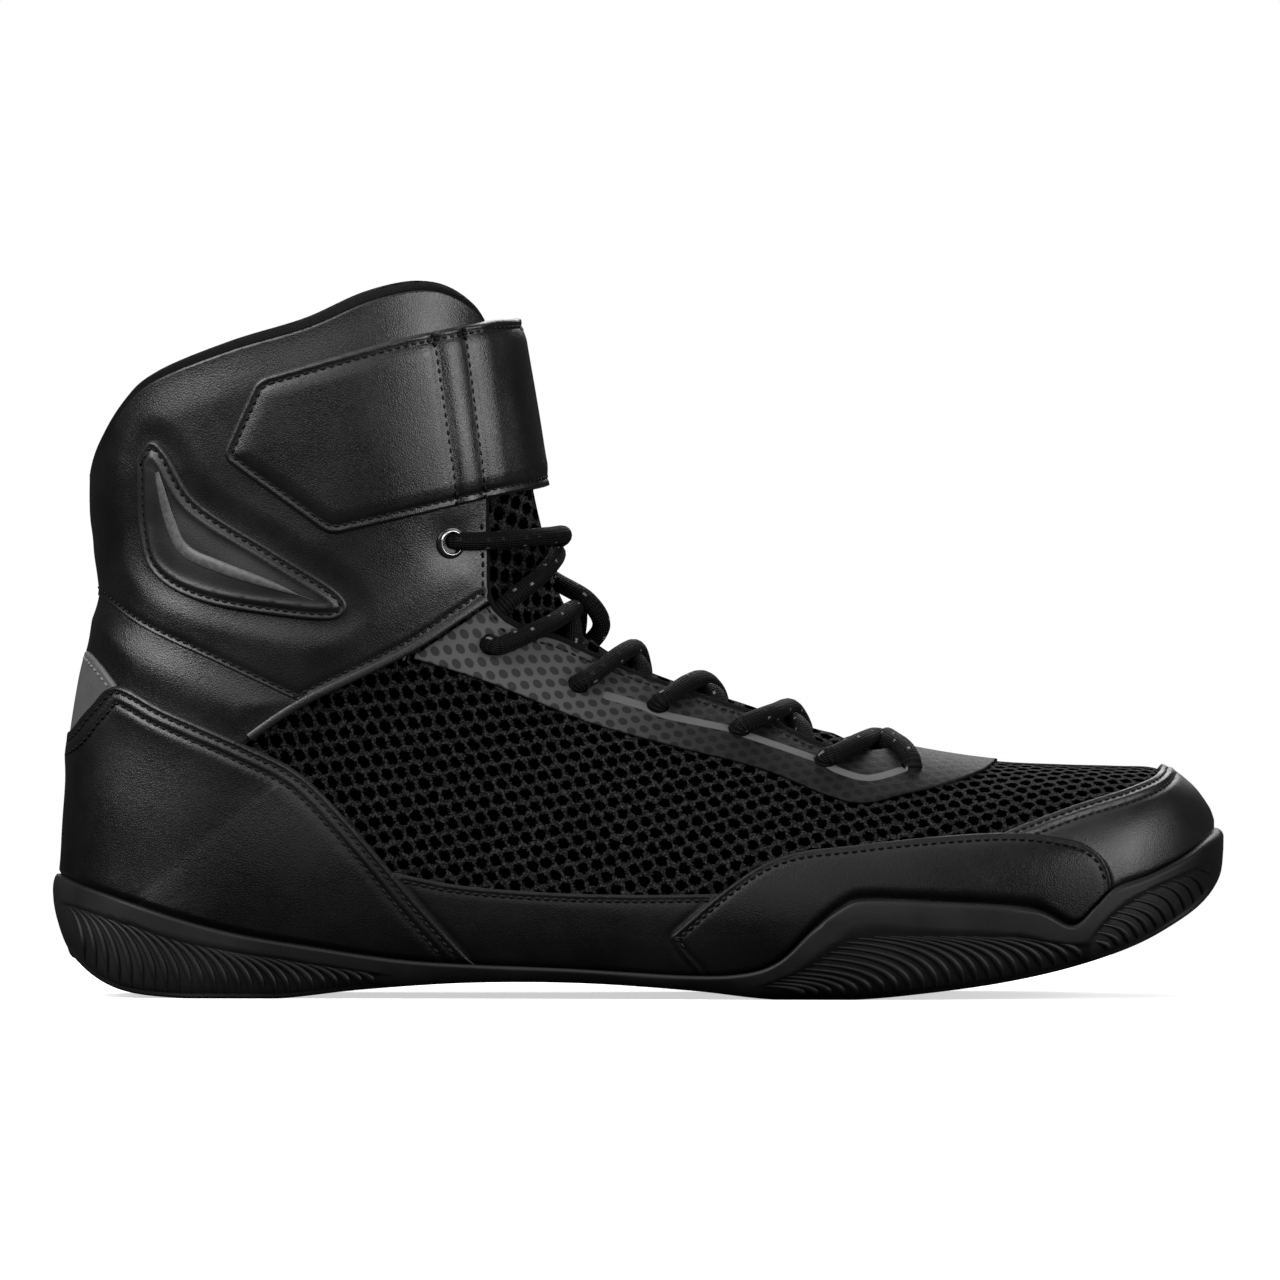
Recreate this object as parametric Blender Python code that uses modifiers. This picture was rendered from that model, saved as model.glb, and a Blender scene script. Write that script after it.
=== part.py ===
"""Right-foot boxing shoe: a high mesh upper with leather overlays, an ankle strap and a cup sole.

The upper, its overlays and the sole are all lofted from one table of sections through the last.
Sizes are in millimetres: x from the back of the heel to the toe, y to the medial side, z from the
floor. The meshes are in metres, with the origin on the floor under the middle of the shoe.
"""
import math
from collections import namedtuple

import bmesh
import bpy
from mathutils import Vector

# Driving sizes in millimetres
CENTRE_X = 144.9           # middle of the shoe's length
CENTRE_Y = -0.8            # and of its width
WALL = 2.2                 # mesh and lining of the upper
COLLAR_WALL = 5.0          # padded wall round the ankle
COLLAR_PAD_FROM = 84.0     # height where the padding starts
COLLAR_PAD_FULL = 112.0
SEAT = 0.3                 # gap between pieces that meet
LEATHER = 1.2              # overlays
FILM = 0.8                 # eyestay
PAD = 1.6                  # ankle pad
STRAP = 1.9
INSOLE = 3.6
INSOLE_INSET = 4.2         # from the feather line, so that it clears the wall
TONGUE = 4.5
LACE_RADIUS = 2.3
EYELET_RADIUS = 3.9
EYELET_BORE = 2.7
EYELET_HEIGHT = 0.9
LACE_HOLE_RADIUS = 2.6
SOLE_WIDER = 1.07          # cup sole against the last, across
SOLE_LONGER = 1.0284       # and along
GROOVE_RADIUS = 0.8
STRAP_EASE = 0.3           # extra room where a piece's facets differ from its neighbour's
EYELET_EASE = 0.2
LACE_EASE = 0.3
TONGUE_EASE = 2.0
TONGUE_ROOT_EASE = 2.6     # and more at the tongue's root
LACE_BAR_SWEEP = 0.5       # rows that the toe-end bar bows back, onto the last crossing
LACE_RUN = 0.8             # how near a strand comes to the next hole's row
THROUGH = 80.0             # half-length of a cutter that goes through the whole width
LATERAL_HALF = (-THROUGH, -6.0)        # spans of cutters that keep to one side
MEDIAL_HALF = (14.0, THROUGH)
PUNCH = 30.0               # length of a hole's cutter
HOLLOW_TOP = 60.0          # height where the cutter for the sole's hollow ends
ABOVE = 200.0              # over the top of the shoe
TOE_CAP_BACK = 234.0       # stations along the shoe where one side line meets another
FOREFOOT_FRONT = 261.2
FOREFOOT_BACK = 160.5
COUNTER_FRONT = 105.4
RAND_BACK = 85.0
TAB_FRONT = 17.4
BAND_FRONT = 48.4
EYESTAY_BACK = 86.9
MM = 0.001

Section = namedtuple(
    "Section", "name top_x top_z low_x low_z lateral medial ridge widest feather crown throat foot",
    defaults=(2.1,))

# Sections through the last, from the toe back over the heel and up the shaft. Each runs from the
# ridge (top) to the feather line or heel back (low). lateral and medial are its half-widths from the
# ridge line, widest is where along it they fall, feather is the share of them left at the low end,
# crown is how square its shoulder is, throat is how far the lace opening reaches from the ridge, and
# foot is how square the low end is, the same on the whole last.
LAST = [Section(*row) for row in (
    ("toe tip", 285.6, 43.0, 285.6, 33.0, 0.0, 0.0, 9.0, 0.62, 0.95, 2.3, 0.0),
    ("toe nose", 284.2, 46.2, 284.2, 29.8, 13.5, 11.5, 9.0, 0.64, 0.94, 2.3, 0.0),
    ("toe bend", 280.0, 51.4, 280.0, 26.4, 25.5, 20.5, 8.6, 0.68, 0.93, 2.3, 0.0),
    ("toe cap edge", 273.0, 55.9, 273.0, 22.4, 35.0, 28.0, 8.0, 0.70, 0.93, 2.4, 0.0),
    ("toe box", 263.0, 56.6, 263.0, 18.0, 42.5, 34.5, 7.0, 0.72, 0.93, 2.4, 0.0),
    ("toe joint", 249.0, 57.0, 249.0, 13.2, 47.8, 39.5, 6.0, 0.74, 0.93, 2.3, 0.0),
    ("flex line", 232.0, 57.9, 232.0, 9.9, 51.2, 42.8, 5.0, 0.76, 0.93, 2.1, 0.0),
    ("throat end", 213.0, 60.8, 213.0, 7.8, 52.8, 44.2, 4.0, 0.78, 0.93, 1.9, 0.0),
    ("ball", 193.0, 65.4, 193.0, 6.4, 52.6, 43.0, 3.4, 0.79, 0.92, 1.75, 5.0),
    ("behind the ball", 173.0, 72.4, 173.0, 5.3, 50.4, 39.6, 2.8, 0.80, 0.92, 1.65, 3.4),
    ("waist front", 155.0, 78.2, 154.0, 4.6, 47.2, 36.4, 2.0, 0.80, 0.92, 1.6, 3.2),
    ("waist", 143.0, 83.0, 128.0, 6.2, 43.4, 34.4, 1.4, 0.80, 0.92, 1.6, 3.4),
    ("instep", 134.4, 88.2, 102.0, 6.8, 40.0, 33.6, 1.0, 0.78, 0.91, 1.65, 4.6),
    ("instep back", 128.7, 94.8, 76.0, 8.0, 37.4, 33.6, 0.5, 0.76, 0.90, 1.75, 8.0),
    ("heel front", 125.6, 101.0, 50.0, 9.0, 35.8, 34.2, 0.2, 0.74, 0.90, 1.85, 14.0),
    ("heel seat", 123.8, 106.0, 27.0, 9.6, 35.0, 34.4, 0.0, 0.70, 0.86, 1.95, 17.8),
    ("heel curve", 122.5, 110.0, 11.0, 10.2, 34.6, 34.4, 0.0, 0.66, 0.56, 2.0, 19.2),
    ("heel corner", 121.5, 114.0, 4.2, 11.0, 34.4, 34.4, 0.0, 0.62, 0.0, 2.0, 18.9),
    ("heel back", 120.5, 118.0, 3.5, 31.0, 34.4, 34.4, 0.0, 0.58, 0.0, 2.0, 16.5),
    ("counter top", 119.5, 122.5, 4.6, 54.0, 34.6, 34.6, 0.0, 0.54, 0.0, 2.0, 14.5),
    ("heel tab", 118.5, 127.5, 8.0, 78.0, 35.0, 35.0, 0.0, 0.50, 0.0, 2.0, 12.6),
    ("ankle", 117.4, 133.0, 12.6, 96.0, 35.6, 35.6, 0.0, 0.48, 0.0, 2.0, 11.4),
    ("ankle top", 116.3, 140.0, 12.8, 111.0, 36.2, 36.2, 0.0, 0.47, 0.0, 2.0, 10.2),
    ("collar back", 114.8, 149.0, 10.9, 127.0, 36.8, 36.8, 0.0, 0.47, 0.0, 2.0, 8.9),
    ("collar", 112.9, 160.0, 11.2, 150.0, 37.2, 37.2, 0.0, 0.47, 0.0, 2.0, 7.0),
    ("shaft top", 110.2, 177.0, 12.0, 178.0, 37.6, 37.6, 0.0, 0.47, 0.0, 2.0, 4.8),
)]
THROAT_END = 7             # row where the lace opening ends
TONGUE_ROOT, TONGUE_TOP = 6.7, 24.3    # rows where the tongue starts and ends
TONGUE_UNDER = 0.16        # how far it goes on under the wall, in turns
TONGUE_SHOULDER = 0.85     # share of the throat that its raised middle takes
INSOLE_TOE, INSOLE_HEEL = 2.6, 15.5    # rows that the insole spans
INSOLE_ROWS = 23
STRAP_LOW, STRAP_HIGH = 16.0, 25.0     # rows that the strap's surface spans
STRAP_REACH = 1.6          # and turns from the ridge

SoleRow = namedtuple("SoleRow", "low_x low_z tread square")

# The sole's underside, a row for each section from the toe to above the heel's rim. tread is the
# share of the half-width that lies on the underside, and square is how squarely the side meets it.
SOLE = [SoleRow(*row) for row in (
    (289.5, 36.0, 1.00, 2.4),
    (288.0, 29.5, 0.95, 2.4),
    (283.6, 23.6, 0.92, 2.6),
    (276.4, 18.4, 0.90, 2.8),
    (265.6, 12.8, 0.88, 3.0),
    (250.6, 7.8, 0.87, 3.0),
    (233.0, 4.0, 0.87, 3.0),
    (213.5, 1.4, 0.87, 3.0),
    (197.0, 0.0, 0.87, 3.0),
    (178.0, 0.0, 0.87, 3.0),
    (157.0, 2.2, 0.86, 3.0),
    (130.0, 3.9, 0.85, 3.0),
    (103.0, 3.9, 0.85, 3.0),
    (77.0, 2.2, 0.86, 3.0),
    (56.0, 0.0, 0.87, 2.8),
    (34.0, 0.0, 0.85, 2.5),
    (17.0, 2.2, 0.66, 2.2),
    (6.2, 9.4, 0.38, 2.0),
    (1.3, 19.5, 0.16, 1.9),
    (0.1, 30.0, 0.00, 1.9),
    (1.0, 46.0, 0.00, 1.9),
)]

# Lines drawn on the side of the shoe, as (x, z) points that a smooth curve runs through (the sole's
# line goes straight from point to point)
COLLAR_LINE = ((9.0, 124.0), (12.6, 136.0), (19.3, 147.0), (27.0, 153.6), (45.0, 160.7),
               (63.8, 166.3), (79.0, 172.9), (92.0, 175.6), (101.0, 172.8), (106.5, 166.0),
               (112.0, 150.0))
SOLE_LINE = ((-12.0, 32.0), (0.0, 30.2), (12.0, 26.3), (29.0, 20.6), (46.0, 16.0), (66.0, 12.6),
             (86.0, 9.6), (105.0, 8.2), (128.0, 7.2), (155.0, 5.6), (170.0, 6.2), (179.0, 9.4),
             (187.0, 17.0), (194.0, 22.6), (200.0, 24.6), (217.0, 24.0), (240.0, 22.4),
             (250.5, 18.0), (256.5, 22.6), (261.5, 27.2), (270.0, 30.2), (280.0, 35.0),
             (287.5, 40.0), (300.0, 47.0))
COUNTER_LINE = ((-8.0, 60.5), (4.0, 63.6), (11.0, 71.0), (17.6, 76.4), (29.6, 70.6), (48.0, 62.4),
                (62.0, 55.0), (74.2, 42.9), (92.0, 22.4), (105.4, 8.2))
HEEL_TAB_LINE = ((-8.0, 89.0), (8.6, 85.4), (17.4, 76.4))
BAND_LINE = ((-8.0, 112.0), (10.0, 100.6), (22.7, 90.8), (41.5, 81.8), (62.4, 71.8))
DIAGONAL_LINE = ((48.4, 62.2), (62.4, 71.8), (86.9, 84.0), (99.7, 92.1),
                 (112.0, 100.6), (122.0, 108.0))
EYESTAY_LINE = ((86.9, 84.0), (108.3, 77.1), (132.0, 67.6), (153.0, 61.6),
                (174.7, 56.0), (191.2, 49.4), (199.7, 47.6), (209.0, 49.6), (224.0, 53.4),
                (233.0, 58.0), (235.0, 66.0))
RAND_LINE = ((85.0, 30.9), (100.4, 27.9), (122.0, 26.1), (143.8, 25.5), (164.6, 25.7))
FOREFOOT_LINE = ((160.5, 5.8), (153.4, 13.8), (155.4, 18.0), (176.4, 33.3), (199.4, 37.3),
                 (231.2, 39.9), (250.3, 38.7), (259.4, 34.4), (261.2, 27.0))
TOE_CAP_LINE = ((229.0, 38.0), (237.0, 41.6), (250.3, 46.4), (264.6, 50.7), (272.0, 54.0),
                (274.2, 58.0), (274.4, 66.0))
ANKLE_PAD = ((23.2, 132.0), (26.6, 136.6), (30.6, 133.4), (38.1, 121.7), (56.9, 109.2),
             (71.0, 99.8), (72.6, 94.4), (65.4, 92.6), (39.7, 96.4), (27.4, 103.6), (23.8, 116.0))
STRAP_BAND = ((140.0, 131.4), (105.6, 122.4), (30.0, 102.4), (24.0, 143.8), (51.8, 151.6),
              (85.1, 161.4), (107.4, 166.2), (140.0, 168.0))
STRAP_LATERAL_END = ((71.8, 106.0), (71.6, 113.4), (67.8, 114.0), (45.4, 128.6), (43.6, 132.0),
                     (44.2, 136.4), (51.8, 151.6), (54.0, 158.0), (10.0, 158.0), (10.0, 98.0))
STRAP_MEDIAL_END = ((58.4, 106.0), (53.6, 158.0), (10.0, 158.0), (10.0, 98.0))

# The eyelet and the lace holes below it, from the top down, as (x, z) on the side of the shoe
EYELET_PLACE = (98.0, 111.7)
LACE_HOLES = ((108.1, 86.4), (129.8, 76.5), (149.3, 71.1), (169.3, 65.2), (190.3, 57.6), (211.8, 56.2))

Ribs = namedtuple("Ribs", "first last count top_first top_last lean")

# Grooves between the ribs on the sole's side: where they end at the underside, how many, the height
# that they reach at either end of the row, and how far they lean back over that height
RIBS = (
    Ribs(14.0, 78.0, 6, 19.0, 7.0, 11.0),
    Ribs(188.0, 246.0, 6, 13.0, 17.0, 9.0),
    Ribs(260.0, 282.0, 3, 22.0, 33.0, 5.0),
)

ROWS = len(LAST)           # lattice of the upper, toe to collar
COLUMNS = 8                # and ridge to feather line, on each side
SOLE_COLUMNS = 8           # of the sole's outer form, on each side
SOLE_TOE_END, SOLE_HEEL_START = 3, 15  # rows between which the sole needs no half rows
SOLE_RIM_ROW = 18          # row of the sole's rim at the heel
COLLAR_FROM = 18.0         # from this section up, the lattice closes on the collar line
LATERAL = -1
MEDIAL = 1
ALL_ROWS = (0, ROWS)


for existing in list(bpy.data.objects):
    bpy.data.objects.remove(existing)

parts = bpy.data.collections.new("boxing_shoe")
cutters = bpy.data.collections.new("boxing_shoe_cutters")
bpy.context.scene.collection.children.link(parts)
bpy.context.scene.collection.children.link(cutters)


def material(name, colour, roughness, metallic=0.0):
    """A Principled material of one colour."""
    made = bpy.data.materials.new(name)
    made.use_nodes = True
    shader = made.node_tree.nodes["Principled BSDF"]
    shader.inputs["Base Color"].default_value = (*colour, 1.0)
    shader.inputs["Roughness"].default_value = roughness
    shader.inputs["Metallic"].default_value = metallic
    return made


RUBBER = material("black_rubber", (0.016, 0.016, 0.017), 0.6)
MESH_CLOTH = material("black_mesh", (0.012, 0.012, 0.013), 0.85)
TONGUE_CLOTH = material("tongue_mesh", (0.014, 0.014, 0.015), 0.85)
FOAM = material("insole_foam", (0.03, 0.03, 0.032), 0.9)
SYNTHETIC = material("black_leather", (0.014, 0.014, 0.015), 0.45)
GREY_FILM = material("grey_film", (0.10, 0.10, 0.105), 0.5)
GREY_TAB = material("grey_tab", (0.16, 0.16, 0.17), 0.5)
STRAP_LEATHER = material("strap_leather", (0.02, 0.02, 0.021), 0.4)
BRAID = material("lace_braid", (0.018, 0.018, 0.019), 0.8)
STEEL = material("eyelet_steel", (0.55, 0.55, 0.56), 0.25, 1.0)


def place(x, y, z):
    """A point of the shoe in metres, with the origin under its middle."""
    return Vector(((x - CENTRE_X) * MM, (y - CENTRE_Y) * MM, z * MM))


def glide(a, b, c, d, share):
    """The value a share of the way from b to c on the smooth curve through a, b, c and d."""
    slope_b = (c - a) / 2
    slope_c = (d - b) / 2
    rest = 1 - share
    return (b * (1 + 2 * share) * rest ** 2 + slope_b * share * rest ** 2
            + c * share ** 2 * (3 - 2 * share) - slope_c * share ** 2 * rest)


def glide_rows(rows, t):
    """The numbers of a table's rows at the real-valued row t."""
    low = min(max(int(t), 0), len(rows) - 2)
    around = [rows[min(max(low + step, 0), len(rows) - 1)] for step in (-1, 0, 1, 2)]
    return [glide(*four, t - low) for four in zip(*around)]


def smooth(points, steps=2):
    """Points along the smooth curve through the given ones."""
    last = len(points) - 1
    return [tuple(glide_rows(points, index / steps)) for index in range(last * steps)] + [points[-1]]


def last_section(t):
    """The section through the last at row t."""
    numbers = glide_rows([row[1:] for row in LAST], t)
    return Section("", *numbers)


def sole_section(t):
    """The section through the sole's outside at row t: the last's, grown to the cup's outside."""
    last = last_section(t)
    low_x, low_z, tread, square = glide_rows(SOLE, t)
    depth = last.top_z - last.low_z
    deeper = last.top_z - low_z
    return last._replace(
        top_x=CENTRE_X + (last.top_x - CENTRE_X) * SOLE_LONGER,
        low_x=low_x, low_z=max(low_z, 0.0),
        lateral=last.lateral * SOLE_WIDER, medial=last.medial * SOLE_WIDER,
        widest=last.widest * depth / deeper, feather=max(tread, 0.0), foot=square)


def section_point(section, turn, side):
    """A point on a section: turn 0 at the ridge, 1 where it is widest, 2 at its low end."""
    angle = min(turn, 1.0) * math.pi / 2
    past = max(turn - 1.0, 0.0) * math.pi / 2
    crown = 2 / section.crown
    foot = 2 / section.foot
    if turn <= 1.0:
        along = section.widest * (1 - max(math.cos(angle), 0.0) ** crown)
        spread = math.sin(angle) ** crown
    else:
        along = section.widest + (1 - section.widest) * math.sin(past) ** foot
        feather = max(section.feather, 0.0)
        spread = feather + (1 - feather) * max(math.cos(past), 0.0) ** foot
    width = section.lateral if side == LATERAL else section.medial
    return Vector((section.top_x + (section.low_x - section.top_x) * along,
                   section.ridge + side * width * spread,
                   section.top_z + (section.low_z - section.top_z) * along))


def turn_at(section, along):
    """The turn of the point that lies the given share of the way down a section."""
    if along <= section.widest:
        left = 1 - max(along, 0.0) / section.widest
        return math.acos(min(left ** (section.crown / 2), 1.0)) / (math.pi / 2)
    share = min((along - section.widest) / (1 - section.widest), 1.0)
    return 1 + math.asin(share ** (section.foot / 2)) / (math.pi / 2)


def throat_turn(section):
    """The turn at the edge of the lace opening."""
    length = math.hypot(section.low_x - section.top_x, section.low_z - section.top_z)
    return turn_at(section, max(section.throat, 0.0) / length)


def find(x, z, section_at=last_section, low=0.0, high=len(LAST) - 1.0):
    """The row and turn whose point shows at (x, z) from the side."""
    for _ in range(40):
        middle = (low + high) / 2
        section = section_at(middle)
        down_x = section.low_x - section.top_x
        down_z = section.low_z - section.top_z
        ahead = (x - section.top_x) * down_z - (z - section.top_z) * down_x
        if ahead > 0:
            low = middle
        else:
            high = middle
    length = down_x ** 2 + down_z ** 2
    along = ((x - section.top_x) * down_x + (z - section.top_z) * down_z) / length
    return middle, turn_at(section, along)


def normal_at(t, turn, side):
    """The outward direction of the last's surface at a row and turn."""
    step = 0.02
    above, below = max(turn - step, 0.0), min(turn + step, 2.0)
    along = (section_point(last_section(t + step), turn, side)
             - section_point(last_section(max(t - step, 0.0)), turn, side))
    down = (section_point(last_section(t), below, side)
            - section_point(last_section(t), above, side))
    return (down.cross(along) * side).normalized()


def off_surface(t, turn, side, height):
    """A point the given height outside the last."""
    return section_point(last_section(t), turn, side) + normal_at(t, turn, side) * height


def line_height(points, x):
    """The height of a line that runs from heel to toe, at x."""
    for before, after in zip(points, points[1:]):
        if before[0] <= x <= after[0]:
            share = (x - before[0]) / (after[0] - before[0])
            return before[1] + (after[1] - before[1]) * share
    return points[0][1] if x < points[0][0] else points[-1][1]


def lattice():
    """Points of the upper's outside: a list of rows for each side, closed on the collar line."""
    collar = smooth(COLLAR_LINE)
    top = len(LAST) - 1.0
    grid = {LATERAL: [], MEDIAL: []}

    def point(t, share, side):
        section = last_section(t)
        start = throat_turn(section)
        return section_point(section, start + (2 - start) * share, side)

    ends = []
    for column in range(COLUMNS + 1):
        low, high = COLLAR_FROM, top
        for _ in range(40):
            middle = (low + high) / 2
            at = point(middle, column / COLUMNS, MEDIAL)
            if at.z < line_height(collar, at.x):
                low = middle
            else:
                high = middle
        ends.append(middle)
    for row in range(ROWS):
        risen = max(row - COLLAR_FROM, 0.0) / (top - COLLAR_FROM)
        for side, rows in grid.items():
            rows.append([
                point(min(row, COLLAR_FROM) + (end - COLLAR_FROM) * risen, column / COLUMNS, side)
                for column, end in enumerate(ends)])
    return grid


GRID = lattice()


def add_mesh(name, points, faces, finish=None, closed=True):
    """An object with the given points in shoe millimetres, its coinciding points welded."""
    mesh = bpy.data.meshes.new(name)
    build = bmesh.new()
    corners = [build.verts.new(place(*point)) for point in points]
    for face in faces:
        build.faces.new([corners[index] for index in face])
    bmesh.ops.remove_doubles(build, verts=build.verts, dist=0.05 * MM)
    bmesh.ops.dissolve_degenerate(build, edges=build.edges, dist=0.01 * MM)
    if closed:
        bmesh.ops.recalc_face_normals(build, faces=build.faces)
    build.to_mesh(mesh)
    build.free()
    made = bpy.data.objects.new(name, mesh)
    if finish is None:
        hide_cutter(made)
    else:
        mesh.materials.append(finish)
        mesh.shade_smooth()
        parts.objects.link(made)
    return made


def hide_cutter(made):
    """Keep a cutter out of the shoe."""
    made.hide_render = True
    made.display_type = "WIRE"
    cutters.objects.link(made)


def grid_faces(rows, columns, start=0, flip=False):
    """Triangles of a grid of points stored row by row, each cell split from its first corner."""
    faces = []
    for row in range(rows - 1):
        for column in range(columns - 1):
            corner = start + row * columns + column
            across = corner + columns + 1
            faces += [(corner, corner + 1, across), (corner, across, corner + columns)]
    return [tuple(reversed(face)) for face in faces] if flip else faces


def upper_sheet(name, finish, rows=ALL_ROWS):
    """The upper's outside between two rows, as an open surface."""
    first, last = rows
    points, faces = [], []
    for side, lines in GRID.items():
        start = len(points)
        kept = lines[first:last]
        points += [point for line in kept for point in line]
        faces += grid_faces(len(kept), COLUMNS + 1, start, side == LATERAL)
    return add_mesh(name, points, faces, finish, closed=False)


def ring_loft(name, rings, finish=None):
    """A closed solid through rings of equally many points."""
    count = len(rings[0])
    points = [point for ring in rings for point in ring]
    faces = []
    for row in range(len(rings) - 1):
        for index in range(count):
            here = row * count + index
            across = (row + 1) * count + (index + 1) % count
            faces += [(here, row * count + (index + 1) % count, across), (here, across, here + count)]
    faces.append(tuple(range(count)))
    faces.append(tuple(range(len(points) - count, len(points))))
    return add_mesh(name, points, faces, finish)


def prism(name, outline, sides=(-THROUGH, THROUGH)):
    """A cutter through the shoe with the given side view."""
    count = len(outline)
    points = [Vector((x, y, z)) for y in sides for x, z in outline]
    faces = [tuple(range(count)), tuple(range(count, 2 * count))]
    faces += [(index, (index + 1) % count, count + (index + 1) % count, count + index)
              for index in range(count)]
    return add_mesh(name, points, faces)


def shrunk(outline, distance):
    """An outline drawn in by a distance, so that neighbours keep their gap."""
    area = sum(a[0] * b[1] - b[0] * a[1] for a, b in zip(outline, outline[1:] + outline[:1]))
    inward = distance if area > 0 else -distance
    moved = []
    for before, here, after in zip(outline[-1:] + outline[:-1], outline, outline[1:] + outline[:1]):
        run = Vector(after) - Vector(before)
        length = max(run.length, 1e-6)
        moved.append((here[0] - run.y / length * inward, here[1] + run.x / length * inward))
    return moved


def shell(made, gap, thickness):
    """Give an open surface a thickness, the given gap outside where it was drawn."""
    lift = made.modifiers.new("lift", "DISPLACE")
    lift.strength = gap * MM
    lift.mid_level = 0.0
    wall = made.modifiers.new("wall", "SOLIDIFY")
    wall.thickness = thickness * MM
    wall.offset = 1.0


def cut(made, cutter, operation="DIFFERENCE", itself=False):
    """A Boolean between a piece and a cutter, itself where the cutter's own tubes may cross."""
    boolean = made.modifiers.new(cutter.name, "BOOLEAN")
    boolean.operation = operation
    boolean.object = cutter
    boolean.solver = "EXACT"
    boolean.use_self = itself


def between(line, start, end):
    """The stretch of a smooth line from x start to x end, with its ends on those stations."""
    drawn = line if line is SOLE_LINE else smooth(line)
    inside = [point for point in drawn if start < point[0] < end]
    return [(start, line_height(drawn, start))] + inside + [(end, line_height(drawn, end))]


def overlay(name, outline, finish=SYNTHETIC, rows=ALL_ROWS, gap=SEAT, thickness=LEATHER,
            sides=(-THROUGH, THROUGH)):
    """A piece of the upper's skin with the given side view."""
    made = upper_sheet(name, finish, rows)
    shell(made, gap, thickness)
    cut(made, prism(name + "_cutter", shrunk(outline, SEAT / 2), sides), "INTERSECT")
    return made


def on_both_sides(name, outline, **options):
    """The same overlay on the lateral and on the medial side, as two pieces."""
    overlay(name + "_lateral", outline, sides=LATERAL_HALF, **options)
    overlay(name + "_medial", outline, sides=MEDIAL_HALF, **options)


def punches(places, radius, segments):
    """Cutters that punch holes square to the upper's wall, as one object."""
    mesh = bpy.data.meshes.new("punch")
    build = bmesh.new()
    for x, z in places:
        t, turn = find(x, z)
        for side in (LATERAL, MEDIAL):
            centre = place(*section_point(last_section(t), turn, side))
            aim = normal_at(t, turn, side).to_track_quat("Z", "Y").to_matrix().to_4x4()
            aim.translation = centre
            bmesh.ops.create_cone(build, cap_ends=True, segments=segments, radius1=radius * MM,
                                  radius2=radius * MM, depth=PUNCH * MM, matrix=aim)
    build.to_mesh(mesh)
    build.free()
    made = bpy.data.objects.new("punch", mesh)
    hide_cutter(made)
    return made


def wall_at(z):
    """The thickness of the upper's wall at a height: padded round the ankle."""
    share = min(max((z - COLLAR_PAD_FROM) / (COLLAR_PAD_FULL - COLLAR_PAD_FROM), 0.0), 1.0)
    return WALL + (COLLAR_WALL - WALL) * share * share * (3 - 2 * share)


def make_upper(eyelet_punch, lace_punch):
    """The hollow wall from feather line to collar, thicker round the ankle."""
    upper = upper_sheet("upper", MESH_CLOTH)
    padding = upper.vertex_groups.new(name="collar_padding")
    for corner in upper.data.vertices:
        share = (wall_at(corner.co.z / MM) - WALL) / (COLLAR_WALL - WALL)
        padding.add([corner.index], share, "REPLACE")
    wall = upper.modifiers.new("wall", "SOLIDIFY")
    wall.thickness = COLLAR_WALL * MM
    wall.offset = -1.0
    wall.vertex_group = padding.name
    wall.thickness_vertex_group = WALL / COLLAR_WALL
    cut(upper, eyelet_punch)
    cut(upper, lace_punch)


def sole_floor(x):
    """The height of the sole's underside at x."""
    heel_to_toe = [(row.low_x, row.low_z) for row in reversed(SOLE[:SOLE_RIM_ROW + 1])]
    return line_height(heel_to_toe, x)


def rib_path(ribs, index, side, steps=3):
    """The line of one groove on the sole's side, from its top to the sole's underside."""
    share = index / (ribs.count - 1)
    foot = ribs.first + (ribs.last - ribs.first) * share
    reach = ribs.top_first + (ribs.top_last - ribs.top_first) * share
    path = []
    for step in range(steps):
        down = step / (steps - 1)
        x = foot - ribs.lean * (1 - down) ** 2
        z = reach + (sole_floor(x) + GROOVE_RADIUS / 2 - reach) * down
        t, turn = find(x, z, sole_section, high=SOLE_RIM_ROW + 1.0)
        path.append(section_point(sole_section(t), turn, side))
    return path


def tube(name, paths, radius, finish=None, resolution=1):
    """Round tubes along the paths, as one object of closed meshes."""
    curve = bpy.data.curves.new(name, "CURVE")
    curve.dimensions = "3D"
    curve.bevel_depth = radius * MM
    curve.bevel_resolution = resolution
    curve.use_fill_caps = True
    for path in paths:
        spline = curve.splines.new("POLY")
        spline.points.add(len(path) - 1)
        for control, point in zip(spline.points, path):
            control.co = (*place(*point), 1.0)
    drawn = bpy.data.objects.new(name + "_path", curve)
    parts.objects.link(drawn)
    graph = bpy.context.evaluated_depsgraph_get()
    mesh = bpy.data.meshes.new_from_object(drawn.evaluated_get(graph))
    bpy.data.objects.remove(drawn)
    build = bmesh.new()
    build.from_mesh(mesh)
    bmesh.ops.remove_doubles(build, verts=build.verts, dist=0.01 * MM)
    bmesh.ops.recalc_face_normals(build, faces=build.faces)
    build.to_mesh(mesh)
    build.free()
    made = bpy.data.objects.new(name, mesh)
    mesh.materials.clear()
    if finish is None:
        hide_cutter(made)
    else:
        mesh.materials.append(finish)
        mesh.shade_smooth()
        parts.objects.link(made)
    return made


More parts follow.
